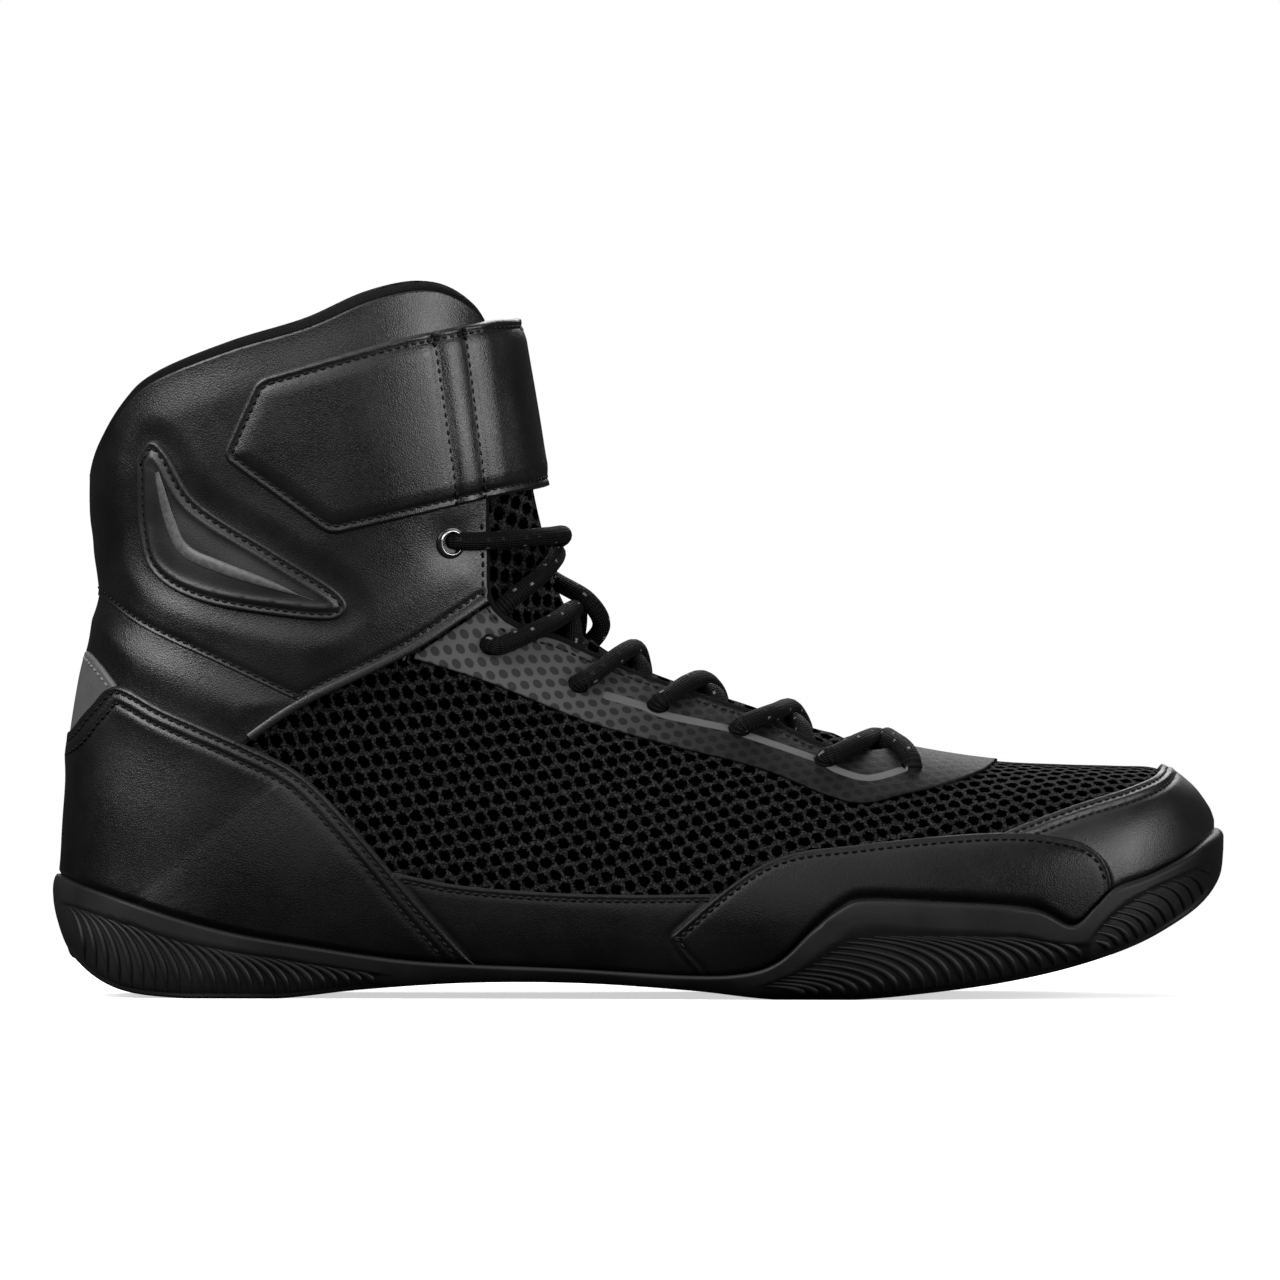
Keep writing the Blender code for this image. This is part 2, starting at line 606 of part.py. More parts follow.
def make_outsole():
    """The cup sole: its outer form, cut down to the rim line, hollowed and grooved."""
    turns = [2 * column / SOLE_COLUMNS for column in range(SOLE_COLUMNS + 1)]
    halves = [half / 2 for half in range(2 * len(SOLE) - 1)]
    rows = [row for row in halves
            if row % 1 == 0 or row < SOLE_TOE_END or SOLE_HEEL_START < row < SOLE_RIM_ROW]
    rings = []
    for row in rows:
        section = sole_section(row)
        ring = [section_point(section, turn, LATERAL) for turn in turns]
        ring += [section_point(section, turn, MEDIAL) for turn in reversed(turns)]
        rings.append(ring)
    outsole = ring_loft("outsole", rings, RUBBER)
    above = [*SOLE_LINE, (SOLE_LINE[-1][0], ABOVE), (SOLE_LINE[0][0], ABOVE)]
    cut(outsole, prism("rim_cutter", shrunk(above, -SEAT / 2)))
    heel = next(row for row in range(ROWS) if GRID[MEDIAL][row][-1].z > HOLLOW_TOP)
    hollow = [GRID[LATERAL][row] + GRID[MEDIAL][row][::-1] for row in range(heel + 1)]
    foot = ring_loft("foot_cutter", hollow)
    lift = foot.modifiers.new("lift", "DISPLACE")
    lift.strength = SEAT * MM
    lift.mid_level = 0.0
    cut(outsole, foot)
    grooves = [rib_path(ribs, index, side)
               for ribs in RIBS for index in range(ribs.count) for side in (LATERAL, MEDIAL)]
    cut(outsole, tube("groove_cutter", grooves, GROOVE_RADIUS, resolution=0), itself=True)


def make_insole():
    """The foam insole on the cup's floor."""
    rings = []
    for row in range(INSOLE_ROWS):
        t = INSOLE_TOE + (INSOLE_HEEL - INSOLE_TOE) * row / (INSOLE_ROWS - 1)
        section = last_section(t)
        lateral, medial = (section_point(section, 2.0, side) for side in (LATERAL, MEDIAL))
        lateral.y += INSOLE_INSET
        medial.y -= INSOLE_INSET
        under = Vector((0.0, 0.0, SEAT))
        over = Vector((0.0, 0.0, SEAT + INSOLE))
        rings.append([lateral + under, medial + under, medial + over, lateral + over])
    ring_loft("insole", rings, FOAM)


def make_tongue():
    """The padded tongue: under the wall at its edges, up to the ridge between them."""
    rows, columns = 17, 9
    points = []
    for row in range(rows):
        t = TONGUE_ROOT + (TONGUE_TOP - TONGUE_ROOT) * row / (rows - 1)
        section = last_section(t)
        throat = throat_turn(section)
        edge = throat + TONGUE_UNDER
        opened = min(max(t - THROAT_END, 0.0), 1.0)
        under = (wall_at(section_point(section, throat, MEDIAL).z) + 2 * SEAT + TONGUE_EASE
                 + TONGUE_ROOT_EASE * (1 - opened))
        for column in range(columns):
            across = 2 * column / (columns - 1) - 1
            turn = abs(across) * edge
            side = LATERAL if across < 0 else MEDIAL
            share = min(turn / max(throat * TONGUE_SHOULDER, 0.001), 1.0)
            rise = (1 - share * share * (3 - 2 * share)) * opened
            points.append(off_surface(t, turn, side, -under + (under - SEAT) * rise))
    tongue = add_mesh("tongue", points, grid_faces(rows, columns), TONGUE_CLOTH, closed=False)
    padding = tongue.modifiers.new("padding", "SOLIDIFY")
    padding.thickness = TONGUE * MM
    padding.offset = -1.0


def make_overlays(eyelet_punch, lace_punch):
    """The leather and film on the wall, each within its own side view."""
    forefoot = smooth(FOREFOOT_LINE)
    forefoot_left = forefoot[:forefoot.index(FOREFOOT_LINE[3])]
    forefoot_right = between(FOREFOOT_LINE[3:], TOE_CAP_BACK, FOREFOOT_LINE[-1][0])
    toe_edge = between(TOE_CAP_LINE, TOE_CAP_BACK, TOE_CAP_LINE[-1][0])
    toe_sole = between(SOLE_LINE, FOREFOOT_FRONT, SOLE_LINE[-1][0])
    overlay("toe_cap", toe_edge + [(SOLE_LINE[-1][0], TOE_CAP_LINE[-1][1])] + toe_sole[::-1]
            + forefoot_right[-2::-1], rows=(0, 9))
    forefoot_sole = between(SOLE_LINE, FOREFOOT_BACK, FOREFOOT_FRONT)
    on_both_sides("forefoot_panel", forefoot + forefoot_sole[-2:0:-1], rows=(2, 13))
    rand_sole = between(SOLE_LINE, COUNTER_FRONT, FOREFOOT_BACK)
    rand = (between(COUNTER_LINE, RAND_BACK, COUNTER_FRONT) + rand_sole[1:-1] + forefoot_left
            + smooth(RAND_LINE)[-2:0:-1])
    on_both_sides("rand", rand, rows=(8, 18))
    counter_sole = between(SOLE_LINE, COUNTER_LINE[0][0], COUNTER_FRONT)
    overlay("heel_counter", smooth(COUNTER_LINE) + counter_sole[-2::-1], rows=(9, 25))
    tab_low = between(COUNTER_LINE, COUNTER_LINE[0][0], TAB_FRONT)
    overlay("heel_tab", smooth(HEEL_TAB_LINE) + tab_low[-2::-1], GREY_TAB, rows=(15, 25))
    band_low = between(COUNTER_LINE, TAB_FRONT, BAND_FRONT)
    band = (smooth(BAND_LINE) + smooth(DIAGONAL_LINE)[1::-1] + band_low[-2:0:-1]
            + smooth(HEEL_TAB_LINE)[::-1])
    overlay("heel_band", band, rows=(11, ROWS))
    front = STRAP_BAND[-1][0]
    diagonal_end = (front, DIAGONAL_LINE[-1][1])
    cuff_outline = (smooth(BAND_LINE)[:-1] + smooth(DIAGONAL_LINE)[2:]
                    + [diagonal_end, (front, ABOVE), (BAND_LINE[0][0], ABOVE)])
    cuff = overlay("cuff", cuff_outline, rows=(10, ROWS))
    cut(cuff, eyelet_punch)
    eyestay_top = between(DIAGONAL_LINE, EYESTAY_BACK, DIAGONAL_LINE[-1][0])
    eyestay_outline = eyestay_top + [diagonal_end] + smooth(EYESTAY_LINE)[:0:-1]
    eyestay = overlay("eyestay", eyestay_outline, GREY_FILM, rows=(4, 23), thickness=FILM)
    cut(eyestay, lace_punch)
    on_both_sides("ankle_pad", smooth(ANKLE_PAD + ANKLE_PAD[:1])[:-1], rows=(13, ROWS),
                  gap=2 * SEAT + LEATHER, thickness=PAD)


def make_strap():
    """The ankle strap: a band of the closed shaft's surface, outside the cuff and the tongue."""
    rows, columns = 9, 21
    points = []
    for row in range(rows):
        section = last_section(STRAP_LOW + (STRAP_HIGH - STRAP_LOW) * row / (rows - 1))
        for column in range(columns):
            across = 2 * column / (columns - 1) - 1
            side = LATERAL if across < 0 else MEDIAL
            points.append(section_point(section, abs(across) * STRAP_REACH, side))
    strap = add_mesh("strap", points, grid_faces(rows, columns), STRAP_LEATHER, closed=False)
    shell(strap, 2 * SEAT + LEATHER + STRAP_EASE, STRAP)
    cut(strap, prism("strap_band_cutter", STRAP_BAND), "INTERSECT")
    cut(strap, prism("strap_lateral_cutter", STRAP_LATERAL_END, (-THROUGH, 0.0)))
    cut(strap, prism("strap_medial_cutter", STRAP_MEDIAL_END, (0.0, THROUGH)))


def make_eyelets():
    """The two metal rings that the lace's top crossing comes out of."""
    rim = 0.4
    profile = ((EYELET_BORE, EYELET_HEIGHT - rim), (EYELET_BORE + rim, EYELET_HEIGHT),
               (EYELET_RADIUS - rim, EYELET_HEIGHT), (EYELET_RADIUS, EYELET_HEIGHT - rim),
               (EYELET_RADIUS, 0.0), (EYELET_BORE, 0.0))
    edges = [(index, (index + 1) % len(profile)) for index in range(len(profile))]
    t, turn = find(*EYELET_PLACE)
    for name, side in (("eyelet_lateral", LATERAL), ("eyelet_medial", MEDIAL)):
        mesh = bpy.data.meshes.new(name)
        mesh.from_pydata([(radius * MM, 0.0, height * MM) for radius, height in profile], edges, [])
        mesh.materials.append(STEEL)
        ring = bpy.data.objects.new(name, mesh)
        ring.location = place(*off_surface(t, turn, side, 2 * SEAT + LEATHER + EYELET_EASE))
        ring.rotation_mode = "QUATERNION"
        ring.rotation_quaternion = normal_at(t, turn, side).to_track_quat("Z", "Y")
        parts.objects.link(ring)
        turned = ring.modifiers.new("turned", "SCREW")
        turned.steps = turned.render_steps = 12
        turned.use_merge_vertices = True
        turned.merge_threshold = 0.00001


def strand(start, end, side, height_start, height_end, sweep=0.0, steps=7):
    """A lace's way from a hole on one side, over the ridge, to the other side's throat edge."""
    path = []
    for step in range(steps):
        share = step / (steps - 1)
        turn = -start[1] + (start[1] + end[1]) * share
        t = start[0] + (end[0] - start[0]) * share + sweep * math.sin(math.pi * share)
        lowered = min(max(share * 4 - 1, 0.0), 1.0)
        height = height_start + (height_end - height_start) * lowered
        path.append(off_surface(t, abs(turn), side if turn < 0 else -side, height))
    return path


def make_laces():
    """The crossings of the round lace, each two strands joined on the ridge, and the toe-end bar."""
    film = 2 * SEAT + FILM + LACE_RADIUS + LACE_EASE
    ring = 3 * SEAT + LEATHER + EYELET_HEIGHT + LACE_RADIUS + 2 * LACE_EASE
    holes = [find(*EYELET_PLACE)] + [find(*hole) for hole in LACE_HOLES]
    for number, (hole, below) in enumerate(zip(holes, holes[1:]), 1):
        end_t = hole[0] + (below[0] - hole[0]) * LACE_RUN
        end = (end_t, throat_turn(last_section(end_t)))
        height = ring if number == 1 else film
        crossing, other = (
            tube(f"lace_{number}" + mark, [strand(hole, end, side, height, film)], LACE_RADIUS, finish)
            for mark, side, finish in (("", LATERAL, BRAID), ("_cutter", MEDIAL, None)))
        cut(crossing, other, "UNION")
    bar_path = strand(holes[-1], holes[-1], LATERAL, film, film, LACE_BAR_SWEEP)
    bar = tube("lace_bar_cutter", [bar_path], LACE_RADIUS)
    cut(crossing, bar, "UNION")


eyelet_punch = punches([EYELET_PLACE], EYELET_BORE, 10)
lace_punch = punches(LACE_HOLES, LACE_HOLE_RADIUS, 6)
make_upper(eyelet_punch, lace_punch)
make_outsole()
make_insole()
make_tongue()
make_overlays(eyelet_punch, lace_punch)
make_strap()
make_eyelets()
make_laces()
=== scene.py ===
"""Looks of the right-foot boxing shoe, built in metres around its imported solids."""

import math

import bmesh
import bpy
import numpy as np
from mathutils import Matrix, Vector, kdtree


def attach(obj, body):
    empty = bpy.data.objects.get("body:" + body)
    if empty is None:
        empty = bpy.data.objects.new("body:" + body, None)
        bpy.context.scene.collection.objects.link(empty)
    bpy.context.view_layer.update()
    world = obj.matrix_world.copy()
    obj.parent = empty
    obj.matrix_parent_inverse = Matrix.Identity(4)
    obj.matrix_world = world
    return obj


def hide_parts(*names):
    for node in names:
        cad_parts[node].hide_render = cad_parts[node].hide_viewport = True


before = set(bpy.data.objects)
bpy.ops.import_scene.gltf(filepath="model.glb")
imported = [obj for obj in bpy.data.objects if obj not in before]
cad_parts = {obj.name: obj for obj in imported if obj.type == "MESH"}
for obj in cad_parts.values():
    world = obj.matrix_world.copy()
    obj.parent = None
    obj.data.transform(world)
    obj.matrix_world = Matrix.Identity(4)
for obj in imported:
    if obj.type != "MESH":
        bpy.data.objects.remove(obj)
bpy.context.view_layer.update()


# The studio: a pale floor under a white backdrop, soft lights overhead, behind and at three places in
# front, and a level camera far off to the lateral side.
SHOE_MIDDLE = (0.0002, 0.0, 0.0877)
FRAME_WIDTH = 0.3159
LENS, SENSOR = 400.0, 36.0

camera = bpy.data.objects.new("side_camera", bpy.data.cameras.new("side_camera"))
camera.data.lens = LENS
camera.data.sensor_width = SENSOR
camera.data.clip_end = 50.0
camera.location = (SHOE_MIDDLE[0], -FRAME_WIDTH * LENS / SENSOR, SHOE_MIDDLE[2])
camera.rotation_euler = (math.radians(90.0), 0.0, 0.0)
bpy.context.scene.collection.objects.link(camera)
bpy.context.scene.camera = camera


def soft_light(name, place, aim, size, watts):
    """A square softbox at a place, turned to aim."""
    lamp = bpy.data.lights.new(name, "AREA")
    lamp.size = size
    lamp.energy = watts
    light = bpy.data.objects.new(name, lamp)
    light.location = place
    light.rotation_euler = (Vector(aim) - Vector(place)).to_track_quat("-Z", "Y").to_euler()
    bpy.context.scene.collection.objects.link(light)


# name, place, what it is turned to, size of its face and power
for light in (
    ("overhead", (-0.1, -0.2, 1.15), (0.0, 0.0, 0.08), 0.9, 4.5),
    ("front", (-0.15, -1.5, 0.8), (0.0, 0.0, 0.12), 0.9, 6.5),
    ("front_left", (-1.1, -0.72, 1.1), (-0.05, 0.0, 0.1), 1.2, 38.0),
    ("front_right", (1.35, -0.75, 0.5), (0.1, 0.0, 0.04), 1.1, 24.0),
    ("behind", (0.1, 1.3, 1.0), (0.0, 0.0, 0.1), 1.1, 15.0),
):
    soft_light(*light)

# How bright the backdrop and the floor are to the camera, and how little they throw on the shoe
WHITE = (1.0, 1.0, 1.0, 1.0)
BACKDROP_SEEN, BACKDROP_GLOW = 1.0, 0.035
FLOOR_PALE, FLOOR_LIT, FLOOR_BOUNCE = (0.86, 0.86, 0.86, 1.0), 0.6, (0.04, 0.04, 0.04, 1.0)
FLOOR_LEFT, FLOOR_RIGHT, FLOOR_FRONT, FLOOR_BACK = -1.5, 1.5, -2.2, 0.45

world = bpy.data.worlds.new("studio")
world.use_nodes = True
backdrop = world.node_tree.nodes["Background"]
backdrop.inputs["Color"].default_value = WHITE
seen = world.node_tree.nodes.new("ShaderNodeLightPath").outputs["Is Camera Ray"]
glow = world.node_tree.nodes.new("ShaderNodeMapRange")
glow.inputs["To Min"].default_value = BACKDROP_GLOW
glow.inputs["To Max"].default_value = BACKDROP_SEEN
world.node_tree.links.new(seen, glow.inputs["Value"])
world.node_tree.links.new(glow.outputs[0], backdrop.inputs["Strength"])
bpy.context.scene.world = world
bpy.context.scene.view_settings.view_transform = "Standard"

floor_mesh = bpy.data.meshes.new("floor")
floor_mesh.from_pydata([(FLOOR_LEFT, FLOOR_FRONT, 0), (FLOOR_RIGHT, FLOOR_FRONT, 0),
                        (FLOOR_RIGHT, FLOOR_BACK, 0), (FLOOR_LEFT, FLOOR_BACK, 0)], [], [(0, 1, 2, 3)])
floor_paint = bpy.data.materials.new("floor_paint")
floor_paint.use_nodes = True
paint_nodes, paint_links = floor_paint.node_tree.nodes, floor_paint.node_tree.links
pale = paint_nodes["Principled BSDF"]
pale.inputs["Base Color"].default_value = FLOOR_PALE
pale.inputs["Roughness"].default_value = 0.9
pale.inputs["Emission Color"].default_value = WHITE
pale.inputs["Emission Strength"].default_value = FLOOR_LIT
dim = paint_nodes.new("ShaderNodeBsdfDiffuse")
dim.inputs["Color"].default_value = FLOOR_BOUNCE
either = paint_nodes.new("ShaderNodeMixShader")
paint_links.new(paint_nodes.new("ShaderNodeLightPath").outputs["Is Camera Ray"], either.inputs[0])
paint_links.new(dim.outputs[0], either.inputs[1])
paint_links.new(pale.outputs[0], either.inputs[2])
paint_links.new(either.outputs[0], paint_nodes["Material Output"].inputs[0])
floor_mesh.materials.append(floor_paint)
floor = bpy.data.objects.new("floor", floor_mesh)
bpy.context.scene.collection.objects.link(floor)


# The outsole: one moulding of black rubber, cupped up round the upper and cemented to it. A smooth
# band runs under its rim; below that the side carries fine swept ribs at heel, ball and toe.
# The shoe's form is drawn as sections through the last, in millimetres from heel back and floor.
MM = 0.001
CENTRE_X, CENTRE_Y = 144.9, -0.8
LATERAL, MEDIAL = -1.0, 1.0
SIDES = {LATERAL: "lateral", MEDIAL: "medial"}
# top_x top_z low_x low_z lateral medial ridge widest feather crown throat, from toe tip to shaft top
LAST = np.array((
    (285.6, 43.0, 285.6, 33.0, 0.0, 0.0, 9.0, 0.62, 0.95, 2.3, 0.0),
    (284.2, 46.2, 284.2, 29.8, 13.5, 11.5, 9.0, 0.64, 0.94, 2.3, 0.0),
    (280.0, 51.4, 280.0, 26.4, 25.5, 20.5, 8.6, 0.68, 0.93, 2.3, 0.0),
    (273.0, 55.9, 273.0, 22.4, 35.0, 28.0, 8.0, 0.70, 0.93, 2.4, 0.0),
    (263.0, 56.6, 263.0, 18.0, 42.5, 34.5, 7.0, 0.72, 0.93, 2.4, 0.0),
    (249.0, 57.0, 249.0, 13.2, 47.8, 39.5, 6.0, 0.74, 0.93, 2.3, 0.0),
    (232.0, 57.9, 232.0, 9.9, 51.2, 42.8, 5.0, 0.76, 0.93, 2.1, 0.0),
    (213.0, 60.8, 213.0, 7.8, 52.8, 44.2, 4.0, 0.78, 0.93, 1.9, 0.0),
    (193.0, 65.4, 193.0, 6.4, 52.6, 43.0, 3.4, 0.79, 0.92, 1.75, 5.0),
    (173.0, 72.4, 173.0, 5.3, 50.4, 39.6, 2.8, 0.80, 0.92, 1.65, 3.4),
    (155.0, 78.2, 154.0, 4.6, 47.2, 36.4, 2.0, 0.80, 0.92, 1.6, 3.2),
    (143.0, 83.0, 128.0, 6.2, 43.4, 34.4, 1.4, 0.80, 0.92, 1.6, 3.4),
    (134.4, 88.2, 102.0, 6.8, 40.0, 33.6, 1.0, 0.78, 0.91, 1.65, 4.6),
    (128.7, 94.8, 76.0, 8.0, 37.4, 33.6, 0.5, 0.76, 0.90, 1.75, 8.0),
    (125.6, 101.0, 50.0, 9.0, 35.8, 34.2, 0.2, 0.74, 0.90, 1.85, 14.0),
    (123.8, 106.0, 27.0, 9.6, 35.0, 34.4, 0.0, 0.70, 0.86, 1.95, 17.8),
    (122.5, 110.0, 11.0, 10.2, 34.6, 34.4, 0.0, 0.66, 0.56, 2.0, 19.2),
    (121.5, 114.0, 4.2, 11.0, 34.4, 34.4, 0.0, 0.62, 0.0, 2.0, 18.9),
    (120.5, 118.0, 3.5, 31.0, 34.4, 34.4, 0.0, 0.58, 0.0, 2.0, 16.5),
    (119.5, 122.5, 4.6, 54.0, 34.6, 34.6, 0.0, 0.54, 0.0, 2.0, 14.5),
    (118.5, 127.5, 8.0, 78.0, 35.0, 35.0, 0.0, 0.50, 0.0, 2.0, 12.6),
    (117.4, 133.0, 12.6, 96.0, 35.6, 35.6, 0.0, 0.48, 0.0, 2.0, 11.4),
    (116.3, 140.0, 12.8, 111.0, 36.2, 36.2, 0.0, 0.47, 0.0, 2.0, 10.2),
    (114.8, 149.0, 10.9, 127.0, 36.8, 36.8, 0.0, 0.47, 0.0, 2.0, 8.9),
    (112.9, 160.0, 11.2, 150.0, 37.2, 37.2, 0.0, 0.47, 0.0, 2.0, 7.0),
    (110.2, 177.0, 12.0, 178.0, 37.6, 37.6, 0.0, 0.47, 0.0, 2.0, 4.8),
))
(TOP_X, TOP_Z, LOW_X, LOW_Z, LATERAL_HALF, MEDIAL_HALF, RIDGE, WIDEST, FEATHER, CROWN, THROAT,
 SQUARE) = range(12)
LOW_END_SQUARE = 2.1
# The rows over which the feather edge closes in behind the heel, and its width and fall there
CLOSES_FROM, CLOSES_OVER = 15, 2
CLOSES_WIDTH, CLOSES_FALL = 0.86, 0.34
# low_x low_z tread square, the sole's underside at the same sections
SOLE = np.array((
    (289.5, 36.0, 1.00, 2.4), (288.0, 29.5, 0.95, 2.4), (283.6, 23.6, 0.92, 2.6),
    (276.4, 18.4, 0.90, 2.8), (265.6, 12.8, 0.88, 3.0), (250.6, 7.8, 0.87, 3.0),
    (233.0, 4.0, 0.87, 3.0), (213.5, 1.4, 0.87, 3.0), (197.0, 0.0, 0.87, 3.0),
    (178.0, 0.0, 0.87, 3.0), (157.0, 2.2, 0.86, 3.0), (130.0, 3.9, 0.85, 3.0),
    (103.0, 3.9, 0.85, 3.0), (77.0, 2.2, 0.86, 3.0), (56.0, 0.0, 0.87, 2.8),
    (34.0, 0.0, 0.85, 2.5), (17.0, 2.2, 0.66, 2.2), (6.2, 9.4, 0.38, 2.0),
    (1.3, 19.5, 0.16, 1.9), (0.1, 30.0, 0.00, 1.9), (1.0, 46.0, 0.00, 1.9),
))
UNDER_X, UNDER_Z, TREAD, TREAD_SQUARE = range(4)
SOLE_WIDER, SOLE_LONGER = 1.07, 1.0284
SOLE_HEEL_ROW = 19.0
SOLE_RIM = ((-12.0, 32.0), (0.0, 30.2), (12.0, 26.3), (29.0, 20.6), (46.0, 16.0), (66.0, 12.6),
            (86.0, 9.6), (105.0, 8.2), (128.0, 7.2), (155.0, 5.6), (170.0, 6.2), (179.0, 9.4),
            (187.0, 17.0), (194.0, 22.6), (200.0, 24.6), (217.0, 24.0), (240.0, 22.4),
            (250.5, 18.0), (256.5, 22.6), (261.5, 27.2), (270.0, 30.2), (280.0, 35.0),
            (287.5, 40.0), (300.0, 47.0))


def glide(table, t):
    """The numbers of a table at real-valued rows t, on a smooth curve through its rows."""
    t = np.asarray(t, float)
    low = np.clip(t.astype(int), 0, len(table) - 2)
    share = (t - low)[..., None]
    a, b, c, d = (table[np.clip(low + step, 0, len(table) - 1)] for step in (-1, 0, 1, 2))
    rest = 1 - share
    return (b * (1 + 2 * share) * rest ** 2 + (c - a) / 2 * share * rest ** 2
            + c * share ** 2 * (3 - 2 * share) - (d - b) / 2 * share ** 2 * rest)


def run_along(line):
    """How far along a line each of its points lies."""
    return np.concatenate(([0.0], np.cumsum(np.linalg.norm(np.diff(line, axis=0), axis=1))))


def places_at(line, at):
    """The places at given distances along a line."""
    run = run_along(line)
    return np.stack([np.interp(at, run, line[:, axis]) for axis in range(line.shape[1])], 1)


def smooth_line(points, spacing=0.4):
    """Evenly spaced points on the smooth curve through the given ones."""
    points = np.array(points, float)
    fine = glide(points, np.linspace(0, len(points) - 1, 40 * len(points)))
    length = run_along(fine)[-1]
    return places_at(fine, np.linspace(0, length, max(int(length / spacing), 2) + 1))


def last_rows(t):
    """Sections through the last, with the squareness of their low end."""
    rows = glide(LAST, t)
    closing = np.clip((np.asarray(t) - CLOSES_FROM) / CLOSES_OVER, 0, 1)
    closed = (CLOSES_WIDTH * (1 + 2 * closing) - CLOSES_FALL * closing) * (1 - closing) ** 2
    rows[..., FEATHER] = np.where(closing > 0, closed, rows[..., FEATHER])
    return np.concatenate((rows, np.full(rows.shape[:-1] + (1,), LOW_END_SQUARE)), -1)


def sole_rows(t):
    """Sections through the sole's outside: the last's, grown to the cup."""
    rows = last_rows(t)
    under = glide(SOLE, np.clip(t, 0, len(SOLE) - 1))
    deeper = (rows[..., TOP_Z] - rows[..., LOW_Z]) / (rows[..., TOP_Z] - under[..., UNDER_Z])
    rows[..., TOP_X] = CENTRE_X + (rows[..., TOP_X] - CENTRE_X) * SOLE_LONGER
    rows[..., LOW_X] = under[..., UNDER_X]
    rows[..., LOW_Z] = np.maximum(under[..., UNDER_Z], 0.0)
    rows[..., LATERAL_HALF] *= SOLE_WIDER
    rows[..., MEDIAL_HALF] *= SOLE_WIDER
    rows[..., WIDEST] *= deeper
    rows[..., FEATHER] = np.maximum(under[..., TREAD], 0.0)
    rows[..., SQUARE] = under[..., TREAD_SQUARE]
    return rows


def section_points(rows, turn, side):
    """Points on sections: turn 0 at the ridge, 1 where they are widest, 2 at their low end."""
    crown, foot = 2 / rows[..., CROWN], 2 / rows[..., SQUARE]
    widest = rows[..., WIDEST]
    feather = np.maximum(rows[..., FEATHER], 0.0)
    over = np.clip(turn, 0, 1) * math.pi / 2
    past = np.clip(turn - 1, 0, 1) * math.pi / 2
    along = np.where(turn <= 1, widest * (1 - np.clip(np.cos(over), 0, 1) ** crown),
                     widest + (1 - widest) * np.sin(past) ** foot)
    spread = np.where(turn <= 1, np.sin(over) ** crown,
                      feather + (1 - feather) * np.clip(np.cos(past), 0, 1) ** foot)
    width = np.where(side < 0, rows[..., LATERAL_HALF], rows[..., MEDIAL_HALF])
    return np.stack((rows[..., TOP_X] + (rows[..., LOW_X] - rows[..., TOP_X]) * along,
                     rows[..., RIDGE] + side * width * spread,
                     rows[..., TOP_Z] + (rows[..., LOW_Z] - rows[..., TOP_Z]) * along), -1)


def surface(t, turn, side, sections=last_rows):
    """Points of the last (or the sole) by row, turn and side."""
    return section_points(sections(t), turn, side)


def turn_at(rows, along):
    """The turn of the point that lies the given share of the way down a section."""
    widest = rows[..., WIDEST]
    left = np.clip(1 - np.clip(along, 0, None) / widest, 0, 1)
    share = np.clip((along - widest) / (1 - widest), 0, 1)
    return np.where(along <= widest, np.arccos(left ** (rows[..., CROWN] / 2)) / (math.pi / 2),
                    1 + np.arcsin(share ** (rows[..., SQUARE] / 2)) / (math.pi / 2))


FIND_ROUNDS, EDGE_ROUNDS = 36, 40          # how often a search halves its range


def find(x, z, sections=last_rows, high=len(LAST) - 1.0):
    """The rows and turns whose points show at (x, z) from the side."""
    x, z = np.asarray(x, float), np.asarray(z, float)
    low, high = np.zeros(x.shape), np.full(x.shape, high)
    for _ in range(FIND_ROUNDS):
        t = (low + high) / 2
        rows = sections(t)
        down_x, down_z = rows[..., LOW_X] - rows[..., TOP_X], rows[..., LOW_Z] - rows[..., TOP_Z]
        ahead = (x - rows[..., TOP_X]) * down_z - (z - rows[..., TOP_Z]) * down_x > 0
        low, high = np.where(ahead, t, low), np.where(ahead, high, t)
    along = (((x - rows[..., TOP_X]) * down_x + (z - rows[..., TOP_Z]) * down_z)
             / (down_x ** 2 + down_z ** 2))
    return t, turn_at(rows, along)


def unit(vectors):
    """Vectors brought to length one."""
    return vectors / np.maximum(np.linalg.norm(vectors, axis=-1, keepdims=True), 1e-9)


def outward(t, turn, side, sections=last_rows):
    """Outward directions of the last's (or the sole's) surface."""
    step = 0.015
    before, after = np.maximum(t - step, 0.0), t + step
    above, below = np.maximum(turn - step, 0.0), np.minimum(turn + step, 2.0)
    along = surface(after, turn, side, sections) - surface(before, turn, side, sections)
    down = surface(t, below, side, sections) - surface(t, above, side, sections)
    return unit(np.cross(down, along) * np.asarray(side)[..., None])


def step_up(value, low, high):
    """0 below low, 1 above high and a smooth rise between."""
    share = np.clip((value - low) / (high - low), 0, 1)
    return share * share * (3 - 2 * share)


SLIVER = 0.002                             # faces thinner than this are dissolved


def shoe_places(points):
    """Shoe millimetres as metres about the shoe's middle."""
    return ((np.asarray(points) - (CENTRE_X, CENTRE_Y, 0.0)) * MM).tolist()


